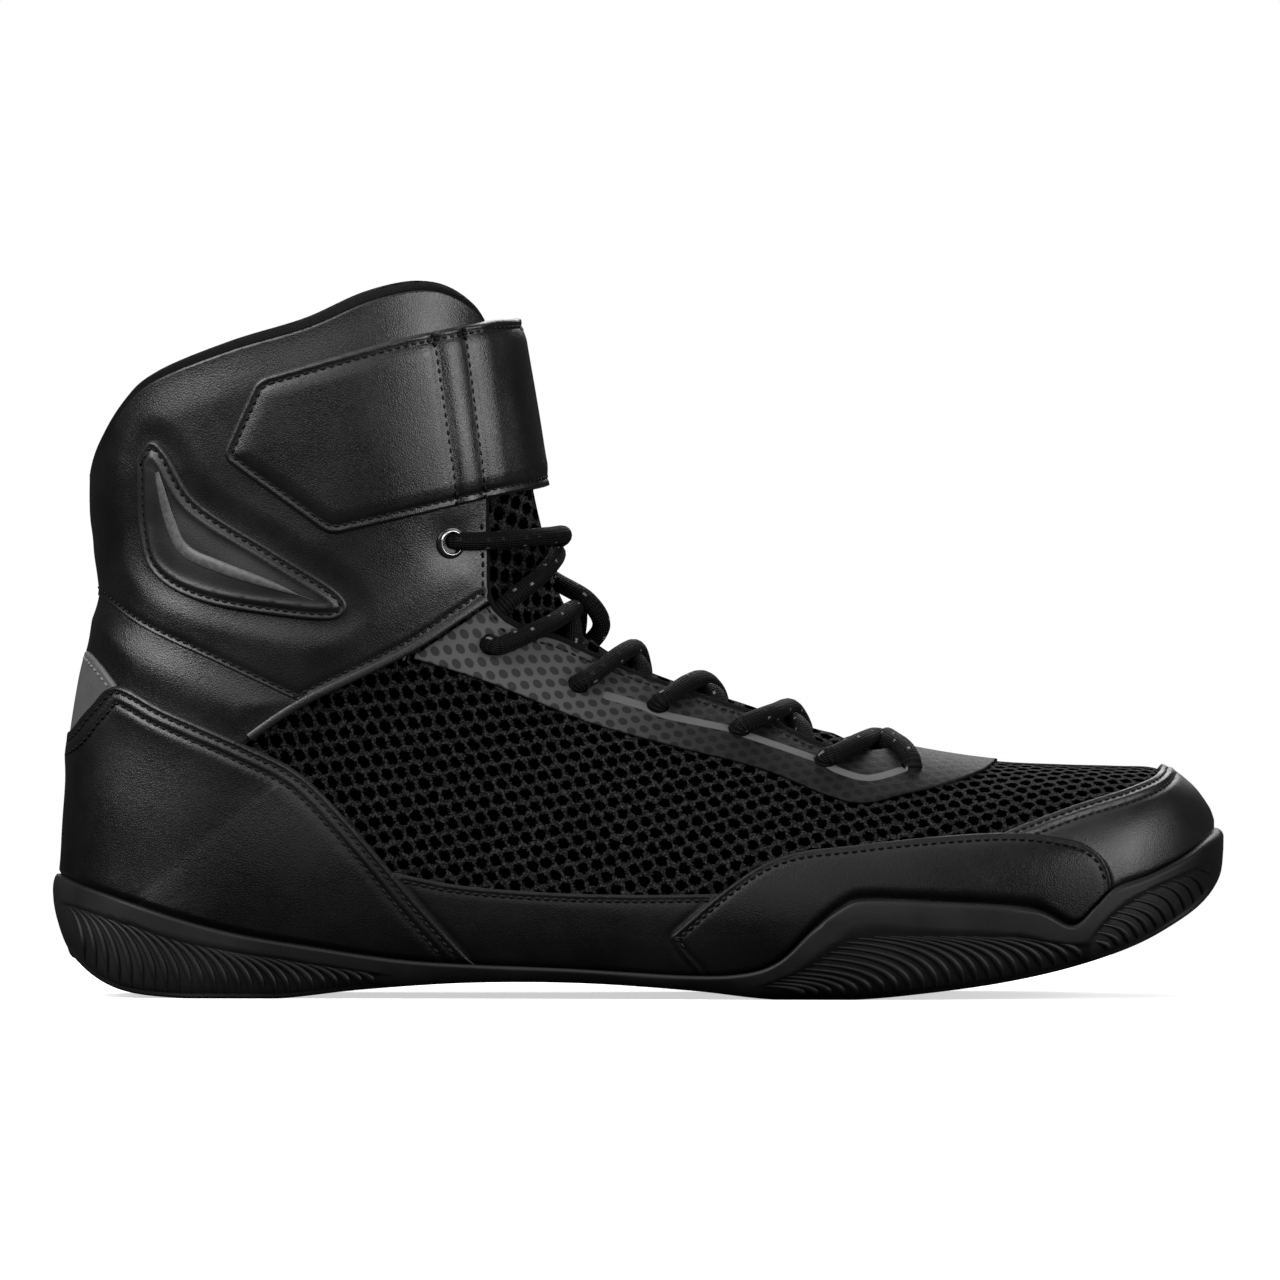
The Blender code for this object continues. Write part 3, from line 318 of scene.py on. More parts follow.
def make_piece(name, points, faces, finishes, replaced=(), uv=None, face_finish=None, weld=0.01,
               values=None):
    """A piece from points in shoe millimetres, welded if asked, smooth, riding on the shoe."""
    mesh = bpy.data.meshes.new(name)
    mesh.from_pydata(shoe_places(points), [], faces.tolist() if isinstance(faces, np.ndarray) else faces)
    for finish in finishes:
        mesh.materials.append(finish)
    if face_finish is not None:
        mesh.polygons.foreach_set("material_index", np.asarray(face_finish, np.int32))
    if uv is not None:
        corners = np.empty(len(mesh.loops), np.int32)
        mesh.loops.foreach_get("vertex_index", corners)
        mesh.uv_layers.new(name="UVMap").data.foreach_set("uv", np.asarray(uv, float)[corners].ravel())
    for label, numbers in (values or {}).items():
        mesh.attributes.new(label, "FLOAT", "POINT").data.foreach_set("value", numbers)
    if weld:
        build = bmesh.new()
        build.from_mesh(mesh)
        bmesh.ops.remove_doubles(build, verts=build.verts, dist=weld * MM)
        bmesh.ops.dissolve_degenerate(build, edges=build.edges, dist=SLIVER * MM)
        bmesh.ops.holes_fill(build, edges=[edge for edge in build.edges if edge.is_boundary])
        build.to_mesh(mesh)
        build.free()
    mesh.shade_smooth()
    made = bpy.data.objects.new(name, mesh)
    bpy.context.scene.collection.objects.link(made)
    return dress(made, replaced)


def dress(made, replaced=()):
    """Put a finished piece on the shoe."""
    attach(made, "root")
    if replaced:
        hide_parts(*replaced)
    return made


def new_finish(name, colour, roughness):
    """A Principled material, with a function that adds nodes to it."""
    finish = bpy.data.materials.new(name)
    finish.use_nodes = True
    shader = finish.node_tree.nodes["Principled BSDF"]
    shader.inputs["Base Color"].default_value = (*colour, 1.0)
    shader.inputs["Roughness"].default_value = roughness

    def node(kind, *links, **settings):
        made = finish.node_tree.nodes.new(kind)
        for key, value in settings.items():
            if key in made.inputs:
                made.inputs[key].default_value = value
            else:
                setattr(made, key, value)
        for index, source in enumerate(links):
            if isinstance(source, bpy.types.NodeSocket):
                finish.node_tree.links.new(source, made.inputs[index])
            elif source is not None:
                made.inputs[index].default_value = source
        return made

    def link(source, target):
        finish.node_tree.links.new(source, shader.inputs[target])

    return finish, shader, node, link


def ramp(node, source, low, high, to_low=0.0, to_high=1.0):
    """A smooth change from one value to another."""
    made = node("ShaderNodeMapRange", source, low, high, to_low, to_high, interpolation_type="SMOOTHSTEP")
    return made.outputs[0]


def tint(node, share, dark, light, blend="MIX"):
    """A colour between two by a share, each a fixed one or what another node gives."""
    mix = node("ShaderNodeMix", data_type="RGBA", blend_type=blend)
    for source, target in ((share, mix.inputs[0]), (dark, mix.inputs[6]), (light, mix.inputs[7])):
        if isinstance(source, bpy.types.NodeSocket):
            mix.id_data.links.new(source, target)
        else:
            target.default_value = (*source, 1.0) if isinstance(source, tuple) else source
    return mix.outputs[2]


def maths(node, operation, *sources):
    """One step of arithmetic."""
    return node("ShaderNodeMath", *sources, operation=operation).outputs[0]


def noise(node, scale, detail, roughness=0.5):
    """Random mottling that is fixed to the piece."""
    where = node("ShaderNodeTexCoord").outputs["Object"]
    return node("ShaderNodeTexNoise", where, Scale=scale, Detail=detail, Roughness=roughness).outputs["Fac"]


def bump(node, height, strength, depth):
    """Fine relief, its depth in metres."""
    return node("ShaderNodeBump", strength, depth, None, height).outputs[0]


rubber, shader, node, link = new_finish("moulded_rubber", (0.012, 0.012, 0.0125), 0.6)
dust = noise(node, 38.0, 6.0, 0.6)
link(tint(node, ramp(node, dust, 0.35, 0.75), (0.003, 0.003, 0.0032), (0.0075, 0.0075, 0.0078)), "Base Color")
link(ramp(node, dust, 0.3, 0.7, 0.44, 0.58), "Roughness")
link(bump(node, noise(node, 2600.0, 3.0), 0.25, 0.00008), "Normal")
shader.inputs["Specular IOR Level"].default_value = 0.22

rim_line = smooth_line(SOLE_RIM)


def rim_turn(t):
    """The turn at which the sole's outside meets its rim."""
    low, high = np.zeros(t.shape), np.full(t.shape, 2.0)
    for _ in range(EDGE_ROUNDS):
        turn = (low + high) / 2
        point = surface(t, turn, MEDIAL, sole_rows)
        over = point[..., 2] > np.interp(point[..., 0], rim_line[:, 0], rim_line[:, 1])
        low, high = np.where(over, turn, low), np.where(over, high, turn)
    return turn


def ring_faces(rows, count):
    """Quads between closed rings of equally many points."""
    row, index = np.meshgrid(np.arange(rows - 1), np.arange(count), indexing="ij")
    ahead = (index + 1) % count
    return np.stack((row * count + index, row * count + ahead,
                     (row + 1) * count + ahead, (row + 1) * count + index), -1).reshape(-1, 4)


# Lower edge of the smooth band over each set of ribs, and the ribs: first and last place at the
# underside, how many, and how far they sweep back to their upper end at first, middle and last
HEEL_BAND_EDGE = ((1.0, 24.0), (10.0, 21.4), (22.0, 17.6), (34.8, 13.9), (50.1, 11.2), (65.2, 8.8),
                  (84.0, 6.0))
BALL_BAND_EDGE = ((172.0, 2.6), (184.0, 7.6), (192.0, 13.0), (198.7, 15.9), (216.0, 16.2), (236.0, 15.9),
                  (245.6, 14.2), (256.0, 13.4))
TOE_BAND_EDGE = ((254.0, 13.6), (260.7, 21.2), (270.2, 27.4), (280.0, 31.2), (287.0, 34.8))
RIB_SETS = (
    (smooth_line(HEEL_BAND_EDGE), 8.0, 80.0, 25, (6.0, 24.0, 14.0)),
    (smooth_line(BALL_BAND_EDGE), 185.0, 253.0, 22, (10.0, 23.0, 15.0)),
    (smooth_line(TOE_BAND_EDGE), 260.0, 286.5, 12, (5.0, 9.0, 4.0)),
)
RIB_RECESS, RECESS_STEP = 0.95, 0.9
RECESS_STARTS, RECESS_ENDS = 4.0, 3.0      # lengths over which the recess fades at its two ends
RIB_HALF_WIDTH, RIB_HALF_HEIGHT = 0.92, 0.85
RIB_POINTS, RIB_SIDES, RIB_CLEAR, RIB_BEND = 16, 8, 0.7, 0.86
RIB_TOP, RIB_FOOT = 0.38, 0.3              # what is left of a rib's size at its two ends
UNDERSIDE_ROWS = 19
sole_low = SOLE[:UNDERSIDE_ROWS, :2][np.argsort(SOLE[:UNDERSIDE_ROWS, 0])]


def rib_recess(x, z):
    """How far the ribbed parts of the side lie under the smooth band."""
    depth = np.zeros(x.shape)
    for edge, *_ in RIB_SETS:
        first, last = edge[0, 0], edge[-1, 0]
        below = np.interp(x, edge[:, 0], edge[:, 1]) - z
        inside = step_up(x, first, first + RECESS_STARTS) * (1 - step_up(x, last - RECESS_ENDS, last))
        depth = np.maximum(depth, RIB_RECESS * inside * step_up(below, 0.0, RECESS_STEP))
    return depth


def quarter_round(share):
    """How far a rounded edge lies in, from 1 at its start to 0 where it ends."""
    return 1 - np.sqrt(1 - (1 - share) ** 2)


WALL_STEPS, RIM_STEPS, FLOOR_STEPS, CUP_STEPS = 44, 7, 10, 8
RIM_SHARE = 0.06                           # the part of the wall, under the rim, with the finer steps
RIM_ROUND, TOE_ROUNDER, HEEL_ROUNDER = 1.0, 1.2, 1.1
HEEL_ROUND, HEEL_LEAN, HEEL_REACH = 3.4, 1.5, 9.0
CUP_GAP, LIP_RISE = 0.15, 0.1
sole_t = np.concatenate((np.linspace(0, 3, 70, endpoint=False), np.linspace(3, 15, 190, endpoint=False),
                         np.linspace(15, SOLE_HEEL_ROW, 90)))
rim_turns = rim_turn(sole_t)
wall_shares = np.concatenate((np.linspace(0, RIM_SHARE, RIM_STEPS, endpoint=False),
                              np.linspace(RIM_SHARE, 1, WALL_STEPS - RIM_STEPS)))
half_rings = []
for side in SIDES:
    turn = rim_turns[:, None] + (2 - rim_turns[:, None]) * wall_shares
    t = np.repeat(sole_t[:, None], WALL_STEPS, 1)
    wall = surface(t, turn, side, sole_rows)
    rim = wall[:, 0].copy()
    round_by = (RIM_ROUND + TOE_ROUNDER * step_up(rim[:, :1], 272.0, 288.0)
                + HEEL_ROUNDER * (1 - step_up(rim[:, :1], 1.0, 16.0)))
    below = np.clip(np.linalg.norm(wall - rim[:, None], axis=-1) / round_by, 0, 1)
    to_floor = np.linalg.norm(wall - wall[:, -1:], axis=-1)
    recess = rib_recess(wall[..., 0], wall[..., 2]) * step_up(to_floor, 0.2, 1.9)
    inset = round_by * quarter_round(below) + recess
    wall -= outward(t, turn, side, sole_rows) * inset[..., None]
    drop = np.clip((rim[:, None, 2] - wall[..., 2]) / HEEL_ROUND, 0, 1)
    wall[..., 0] += HEEL_LEAN * quarter_round(drop) * (1 - step_up(wall[..., 0], 0.0, HEEL_REACH))
    cup_t, cup_turn = find(rim[:, 0], rim[:, 2])
    turn = cup_turn[:, None] + (2 - cup_turn[:, None]) * np.linspace(0, 1, CUP_STEPS)
    t = np.repeat(cup_t[:, None], CUP_STEPS, 1)
    cup = surface(t, turn, side) + outward(t, turn, side) * CUP_GAP
    lip = (wall[:, 0] * 0.5 + cup[:, 0] * 0.5 + (0.0, 0.0, LIP_RISE))[:, None]
    half_rings.append((wall, np.concatenate((lip, cup), 1)))
across = np.linspace(0, 1, FLOOR_STEPS + 2)[1:-1, None]
(wall_l, cup_l), (wall_m, cup_m) = half_rings
under = wall_l[:, -1:] + (wall_m[:, -1:] - wall_l[:, -1:]) * across[None]
bed = cup_m[:, -1:] + (cup_l[:, -1:] - cup_m[:, -1:]) * across[None]
rings = np.concatenate((wall_l, under, wall_m[:, ::-1], cup_m, bed, cup_l[:, ::-1]), 1)
make_piece("outsole_rubber", rings.reshape(-1, 3), ring_faces(len(rings), rings.shape[1])[:, ::-1],
           [rubber], ["outsole"])


def socket_tree(name, inputs):
    """A Geometry Nodes tree with named inputs, its start and end, and a function that adds nodes."""
    tree = bpy.data.node_groups.new(name, "GeometryNodeTree")
    tree.interface.new_socket("Path", in_out="INPUT", socket_type="NodeSocketGeometry")
    for label, kind in inputs.items():
        tree.interface.new_socket(label, in_out="INPUT", socket_type="NodeSocket" + kind)
    tree.interface.new_socket("Made", in_out="OUTPUT", socket_type="NodeSocketGeometry")
    start, end = tree.nodes.new("NodeGroupInput"), tree.nodes.new("NodeGroupOutput")

    def node(kind, settings=None, **links):
        made = tree.nodes.new(kind)
        for key, value in (settings or {}).items():
            setattr(made, key, value)
        for key, value in links.items():
            target = made.inputs[key.replace("_", " ")]
            if isinstance(value, bpy.types.NodeSocket):
                tree.links.new(value, target)
            else:
                target.default_value = value
        return made

    return tree, start, end, node


def named(node, label, kind):
    """A value stored on the path's points."""
    return node("GeometryNodeInputNamedAttribute", {"data_type": kind}, Name=label).outputs["Attribute"]


# A bar or cord swept along a path: flat or round, turned to the surface it lies on
sweep, start, end, node = socket_tree("swept_along_path", {
    "Half Width": "Float", "Half Height": "Float", "Sides": "Int", "Finish": "Material"})
curve = node("GeometryNodeMeshToCurve", Mesh=start.outputs["Path"]).outputs[0]
curve = node("GeometryNodeSetCurveNormal", {"mode": "FREE"}, Curve=curve,
             Normal=named(node, "out", "FLOAT_VECTOR")).outputs[0]
curve = node("GeometryNodeStoreNamedAttribute", {"data_type": "FLOAT"}, Geometry=curve, Name="run",
             Value=node("GeometryNodeSplineParameter").outputs["Length"]).outputs[0]
circle = node("GeometryNodeCurvePrimitiveCircle", Resolution=start.outputs["Sides"],
              Radius=1.0).outputs[0]
circle = node("GeometryNodeStoreNamedAttribute", {"data_type": "FLOAT"}, Geometry=circle, Name="around",
              Value=node("GeometryNodeSplineParameter").outputs["Factor"]).outputs[0]
flat = node("ShaderNodeCombineXYZ", X=start.outputs["Half Height"], Y=start.outputs["Half Width"], Z=1.0)
circle = node("GeometryNodeTransform", Geometry=circle, Scale=flat.outputs[0]).outputs[0]
swept = node("GeometryNodeCurveToMesh", Curve=curve, Profile_Curve=circle, Fill_Caps=True,
             Scale=named(node, "swell", "FLOAT")).outputs[0]
both = node("ShaderNodeCombineXYZ", X=named(node, "around", "FLOAT"),
            Y=named(node, "run", "FLOAT")).outputs[0]
swept = node("GeometryNodeStoreNamedAttribute", {"data_type": "FLOAT2", "domain": "CORNER"},
             Geometry=swept, Name="UVMap", Value=both).outputs[0]
swept = node("GeometryNodeSetShadeSmooth", Geometry=swept, Shade_Smooth=True).outputs[0]
swept = node("GeometryNodeRealizeInstances", Geometry=swept).outputs[0]
swept = node("GeometryNodeSetMaterial", Geometry=swept, Material=start.outputs["Finish"]).outputs[0]
sweep.links.new(swept, end.inputs["Made"])


def grow(name, tree, paths, slot, **values):
    """Run a tree on paths of (points, outward directions, swell) and keep the result as a plain mesh."""
    mesh = bpy.data.meshes.new(name)
    points = np.concatenate([path[0] for path in paths])
    starts = np.cumsum([0] + [len(path[0]) for path in paths])
    edges = [(index, index + 1) for first, last in zip(starts, starts[1:])
             for index in range(first, last - 1)]
    mesh.from_pydata(shoe_places(points), edges, [])
    out = mesh.attributes.new("out", "FLOAT_VECTOR", "POINT")
    out.data.foreach_set("vector", np.concatenate([path[1] for path in paths]).ravel())
    swell = mesh.attributes.new("swell", "FLOAT", "POINT")
    swells = [np.broadcast_to(path[2], len(path[0])) for path in paths]
    swell.data.foreach_set("value", np.concatenate(swells))
    made = bpy.data.objects.new(name, mesh)
    bpy.context.scene.collection.objects.link(made)
    modifier = made.modifiers.new(tree.name, "NODES")
    modifier.node_group = tree
    for socket in tree.interface.items_tree:
        label = socket.name.lower().replace(" ", "_")
        if socket.item_type == "SOCKET" and label in values:
            modifier[socket.identifier] = values[label]
    graph = bpy.context.evaluated_depsgraph_get()
    made.data = bpy.data.meshes.new_from_object(made.evaluated_get(graph))
    made.modifiers.clear()
    bpy.data.meshes.remove(mesh)
    made.data.name = name
    return dress(made)


def curved(start, bend, stop, share):
    """Points on the bow from start to stop that bends towards a third place."""
    return (1 - share) ** 2 * start + 2 * share * (1 - share) * bend + share ** 2 * stop


rib_paths = []
down = np.linspace(0, 1, RIB_POINTS)
swell = ((RIB_TOP + (1 - RIB_TOP) * step_up(down, 0.0, 0.8))
         * (1 - (1 - RIB_FOOT) * step_up(down, 0.8, 1.0)))
for edge, first, last, count, sweeps in RIB_SETS:
    for share in np.arange(count) / (count - 1):
        foot_x = first + (last - first) * share
        foot_z = np.interp(foot_x, sole_low[:, 0], sole_low[:, 1]) + RIB_CLEAR
        top_x = max(foot_x - np.interp(share, (0.0, 0.5, 1.0), sweeps), edge[0, 0] + 0.6)
        top_z = np.interp(top_x, edge[:, 0], edge[:, 1]) - RIB_CLEAR
        bend = np.array((foot_x, top_z * RIB_BEND + foot_z * (1 - RIB_BEND)))
        drawn = curved(np.array((top_x, top_z)), bend, np.array((foot_x, foot_z)), down[:, None])
        t, turn = find(drawn[:, 0], drawn[:, 1], sole_rows, SOLE_HEEL_ROW)
        for side in SIDES:
            out = outward(t, turn, side, sole_rows)
            rib_paths.append((surface(t, turn, side, sole_rows) - out * RIB_RECESS, out, swell))
grow("outsole_ribs", sweep, rib_paths, "black_rubber", half_width=RIB_HALF_WIDTH * MM,
     half_height=RIB_HALF_HEIGHT * MM, sides=RIB_SIDES, finish=rubber)


# The insole: a thin sheet of foam with a knitted cover, lying loose on the cup's floor.
# Only its heel shows, down through the collar.
knit, _, node, link = new_finish("insole_knit", (0.03, 0.03, 0.031), 0.9)
loops = node("ShaderNodeTexWave", node("ShaderNodeTexCoord").outputs["Object"], Scale=420.0, Distortion=3.0,
             Detail=2.0).outputs["Fac"]
fuzz = ramp(node, noise(node, 900.0, 4.0), 0.3, 0.7)
link(tint(node, fuzz, (0.016, 0.016, 0.017), (0.042, 0.042, 0.043)), "Base Color")
link(bump(node, loops, 0.4, 0.0002), "Normal")
INSOLE_ROWS, INSOLE_RING = 90, 40
INSOLE_FROM, INSOLE_TO = 2.6, 15.5
INSOLE_INSET, INSOLE_LOW, INSOLE_HIGH = 4.2, 0.4, 3.8
INSOLE_ENDS, INSOLE_EDGE = (14, 0.4), 0.3  # how squarely the sheet ends, and its edge turns
low_l, low_m = (surface(np.linspace(INSOLE_FROM, INSOLE_TO, INSOLE_ROWS), np.full(INSOLE_ROWS, 2.0), side)
                for side in SIDES)
ends = np.clip(1 - np.abs(np.linspace(-1, 1, INSOLE_ROWS)) ** INSOLE_ENDS[0], 0, 1) ** INSOLE_ENDS[1]
ring = np.linspace(0, 2 * math.pi, INSOLE_RING, endpoint=False)
flat_y, flat_z = (np.sign(f(ring)) * np.abs(f(ring)) ** INSOLE_EDGE for f in (np.cos, np.sin))
middle, half = (low_l[:, 1] + low_m[:, 1]) / 2, (low_m[:, 1] - low_l[:, 1]) / 2 - INSOLE_INSET
insole_rings = np.stack((np.repeat(low_l[:, :1], INSOLE_RING, 1),
                         middle[:, None] + (half * ends)[:, None] * flat_y,
                         low_l[:, 2:3] + (INSOLE_LOW + INSOLE_HIGH) / 2
                         + (ends * (INSOLE_HIGH - INSOLE_LOW) / 2)[:, None] * flat_z), -1)
insole = make_piece("insole_foam", insole_rings.reshape(-1, 3), ring_faces(INSOLE_ROWS, INSOLE_RING)[:, ::-1],
                    [knit], ["insole"])


# The upper: one bootee of spacer mesh over a lining, thicker round the ankle where the collar is
# stuffed, open at the throat and collar and lasted under the foot into the sole.
COLLAR_LINE = ((9.0, 124.0), (12.6, 136.0), (19.3, 147.0), (27.0, 153.6), (45.0, 160.7), (63.8, 166.3),
               (79.0, 172.9), (92.0, 175.6), (101.0, 172.8), (106.5, 166.0), (112.0, 150.0))
COLLAR_FROM = 18.0
LACE_HOLES = ((108.1, 86.4), (129.8, 76.5), (149.3, 71.1), (169.3, 65.2), (190.3, 57.6), (211.8, 56.2))
EYELET_PLACE = (98.0, 111.7)
LACE_HOLE_RADIUS = 2.6
collar_line = smooth_line(COLLAR_LINE)


def throat_turn(rows):
    """The turn at the edge of the lace opening."""
    length = np.hypot(rows[..., LOW_X] - rows[..., TOP_X], rows[..., LOW_Z] - rows[..., TOP_Z])
    return turn_at(rows, np.maximum(rows[..., THROAT], 0.0) / length)


WALL_THIN, WALL_STUFFING = 2.2, 2.8


def wall_at(z):
    """The thickness of the upper's wall at a height."""
    return WALL_THIN + WALL_STUFFING * step_up(z, 84.0, 112.0)


def spread_turn(t, share):
    """The turn a share of the way from the throat's edge to the low end."""
    edge = throat_turn(last_rows(t))
    return edge + (2 - edge) * share


def collar_row(share, side):
    """The row at which a column of the shaft meets the collar line."""
    low, high = np.full(share.shape, COLLAR_FROM), np.full(share.shape, len(LAST) - 1.0)
    for _ in range(EDGE_ROUNDS):
        t = (low + high) / 2
        point = surface(t, spread_turn(t, share), side)
        over = point[..., 2] > np.interp(point[..., 0], collar_line[:, 0], collar_line[:, 1])
        low, high = np.where(over, low, t), np.where(over, t, high)
    return t


RIDGE_FALL = ((0.0, 118.3), (213.0, 60.8), (232.0, 57.9), (249.0, 57.0), (263.0, 56.6), (273.0, 55.9),
              (286.0, 43.0))


def laid_flat(points, t, turn, side):
    """Where points lie on the cloth before lasting: along the shoe and down from its ridge."""
    path = section_points(last_rows(t)[..., None, :], turn[..., None] * np.linspace(0, 1, 24),
                          np.asarray(side)[..., None])
    step = np.diff(path, axis=-2)
    extra = (np.hypot(step[..., 1], step[..., 2]) - np.abs(step[..., 2])).sum(-1)
    ridge = np.interp(points[..., 0], *np.array(RIDGE_FALL).T)
    return np.stack((points[..., 0], side * (ridge - points[..., 2] + extra)), -1)


MESH_PITCH, MESH_ROW, MESH_HOLE, LATTICE_LEAN = 5.85, 2.2, 1.46, 13.0


def yarn_lattice(node, pitch, row):
    """Distance in millimetres from the nearest hole of a staggered lattice laid on the UV."""
    def moved(operation, place, by=None):
        return node("ShaderNodeVectorMath", place, by, operation=operation).outputs[0]

    flat = node("ShaderNodeVectorRotate", node("ShaderNodeUVMap", uv_map="UVMap").outputs[0],
                rotation_type="Z_AXIS", Angle=math.radians(LATTICE_LEAN)).outputs[0]
    cells = moved("MULTIPLY", flat, (1 / pitch, 1 / (2 * row), 0.0))
    near = []
    for shift in (0.0, 0.5):
        cell = moved("FRACTION", moved("ADD", cells, (shift, shift, 0.0)))
        cell = moved("MULTIPLY", moved("SUBTRACT", cell, (0.5, 0.5, 0.0)), (pitch, 2 * row, 0.0))
        near.append(node("ShaderNodeVectorMath", cell, operation="LENGTH").outputs["Value"])
    return maths(node, "MINIMUM", *near)


def woven_finish(name, pitch, row, hole, dark, yarn_dark, yarn_light):
    """An open-worked cloth: holes on a lattice, coloured near black as the dark layer under them with painted
    shade; yarn between, its lighter specks partly painted glints of the fibres.
    """
    finish, _, node, link = new_finish(name, yarn_light, 0.75)
    wobble = ramp(node, noise(node, 1300.0, 3.0), 0.3, 0.7, -0.32, 0.32)
    far = maths(node, "ADD", yarn_lattice(node, pitch, row), wobble)
    yarn = ramp(node, far, hole * 0.84, hole * 1.16)
    speck_and_glint = noise(node, 1900.0, 3.0, 0.7)
    lit = tint(node, ramp(node, speck_and_glint, 0.44, 0.64), yarn_dark, yarn_light)
    # Painted shade and glints: the holes take the near-black first colour, and the lighter yarn specks are
    # partly painted glints.
    link(tint(node, yarn, dark, lit), "Base Color")
    relief = maths(node, "ADD", yarn, ramp(node, speck_and_glint, 0.3, 0.7, 0.0, 0.45))
    link(bump(node, relief, 0.8, 0.0006), "Normal")
    link(ramp(node, yarn, 0.0, 1.0, 0.0, 0.06), "Specular IOR Level")
    return finish


# The first colour is the holes' painted shade; the lightest yarn colour carries the painted glints of the
# specks.
spacer_mesh = woven_finish("spacer_mesh", MESH_PITCH, MESH_ROW, MESH_HOLE, (0.0002, 0.0002, 0.0002),
                           (0.0026, 0.0026, 0.0027), (0.03, 0.03, 0.0305))
lining, shader, node, link = new_finish("lining_cloth", (0.012, 0.012, 0.012), 0.85)
nap = noise(node, 2200.0, 3.0)
link(tint(node, ramp(node, nap, 0.35, 0.65), (0.007, 0.007, 0.007), (0.02, 0.02, 0.0205)), "Base Color")
link(bump(node, nap, 0.5, 0.0003), "Normal")
shader.inputs["Sheen Weight"].default_value = 0.1


MEETING, MEETING_SHIFT = 0.02, 0.137       # points this close are one; the shift keeps round places apart


def joined(points, normals):
    """Numbers that are the same for points which meet, and normals averaged over them."""
    cells = np.round(points / MEETING + MEETING_SHIFT).astype(int)
    _, same = np.unique(cells, axis=0, return_inverse=True)
    same = same.ravel()
    return same, unit(np.stack([np.bincount(same, normals[:, axis]) for axis in range(3)], 1)[same])


def shell_faces(faces, same):
    """Triangles of a surface, of its underside, numbered on from it, and of the strip round its edges."""
    total = len(same)
    pairs = np.concatenate((faces[:, :2], faces[:, 1:], faces[:, ::2][:, ::-1]))
    ends = same[pairs].tolist()
    known = {(a, b) for a, b in ends}
    a, b = pairs[[(last, first) not in known for first, last in ends]].T
    strip = np.concatenate((np.stack((b, a, a + total), -1), np.stack((b, a + total, b + total), -1)))
    return faces, faces[:, ::-1] + total, strip


def grid_faces(shape, side):
    """Triangles over a grid of points on one side of the last, facing out."""
    number = np.arange(shape[0] * shape[1]).reshape(shape)
    a, b, c, d = (part.ravel() for part in (number[:-1, :-1], number[1:, :-1], number[1:, 1:],
                                            number[:-1, 1:]))
    faces = np.concatenate((np.stack((a, b, c), -1), np.stack((a, c, d), -1)))
    return faces[:, ::-1] if side > 0 else faces


UPPER_ROWS, COLLAR_ROWS, UPPER_COLUMNS = 140, 50, 56
points, normals, faces, uv = [], [], [], []
shares = np.linspace(0, 1, UPPER_COLUMNS)
rise = np.linspace(0, 1, COLLAR_ROWS + 1)[1:, None]
for side in SIDES:
    t = np.concatenate((np.repeat(np.linspace(0, COLLAR_FROM, UPPER_ROWS)[:, None], UPPER_COLUMNS, 1),
                        COLLAR_FROM + (collar_row(shares, side) - COLLAR_FROM) * rise))
    turn = spread_turn(t, shares[None])
    outer = surface(t, turn, side)
    faces.append(grid_faces(t.shape, side) + sum(len(block) for block in points))
    points.append(outer.reshape(-1, 3))
    normals.append(outward(t, turn, side).reshape(-1, 3))
    uv.append(laid_flat(outer, t, turn, side).reshape(-1, 2))
points, uv = np.concatenate(points), np.concatenate(uv)
same, normals = joined(points, np.concatenate(normals))
outside, inside, strip = shell_faces(np.concatenate(faces), same)
make_piece("upper_mesh", np.concatenate((points, points - normals * wall_at(points[:, 2:]))),
           np.concatenate((outside, inside, strip)), [spacer_mesh, lining], ["upper"],
           np.concatenate((uv, uv)), [0] * len(outside) + [1] * len(inside) + [0] * len(strip))


# The rands: two low strips of synthetic leather stitched to the mesh along the arch, one each side,
# tucked into the sole's rim and under the overlays before and behind them.
CUT_SPACING = 0.2                          # between the points of a drawn edge


def cut_line(*points):
    """A drawn edge of an overlay, finely spaced."""
    return smooth_line(points, CUT_SPACING)


COUNTER_LINE = cut_line((-8.0, 60.5), (4.0, 63.6), (11.0, 71.0), (17.6, 76.4), (29.6, 70.6), (48.0, 62.4),
                        (62.0, 55.0), (74.2, 42.9), (92.0, 22.4), (105.4, 8.2))
RAND_LINE = cut_line((82.0, 31.6), (100.4, 27.9), (122.0, 26.1), (143.8, 25.5), (168.0, 25.8))
FOREFOOT_LINE = cut_line((160.5, 5.8), (153.4, 13.8), (155.4, 18.0), (176.4, 33.3), (199.4, 37.3),
                         (231.2, 39.9), (248.0, 38.9), (255.6, 36.2), (259.0, 31.6), (260.0, 26.0))
TUCK = 1.6                                 # how far an overlay runs on under its neighbour or the sole
tucked_rim = cut_line(*SOLE_RIM) - (0.0, TUCK)


def stretch(line, low, high):
    """The part of a drawn line between two places along the shoe."""
    return line[(line[:, 0] >= low) & (line[:, 0] <= high)]


def within(outline, x, z):
    """Whether points lie inside an outline drawn on the side view."""
    inside = np.zeros(x.shape, bool)
    for (x0, z0), (x1, z1) in zip(outline, np.roll(outline, -1, 0)):
        if z0 != z1:
            inside ^= ((z0 > z) != (z1 > z)) & (x < x0 + (z - z0) * (x1 - x0) / (z1 - z0))
    return inside


ON_LAST = 0.3                              # a drawn point farther off than this lies beside the last


def on_last(line, side):
    """Where a drawn line lies on one side of the last: its points, and the rows and turns of them."""
    t, turn = find(line[:, 0], line[:, 1])
    point = surface(t, turn, side)
    real = np.hypot(point[:, 0] - line[:, 0], point[:, 2] - line[:, 1]) < ON_LAST
    return point[real], t[real], turn[real]


def marked(*lines, sides=SIDES):
    """The points of drawn lines on the sides of the last."""
    return np.concatenate([on_last(line, side)[0] for line in lines for side in sides])


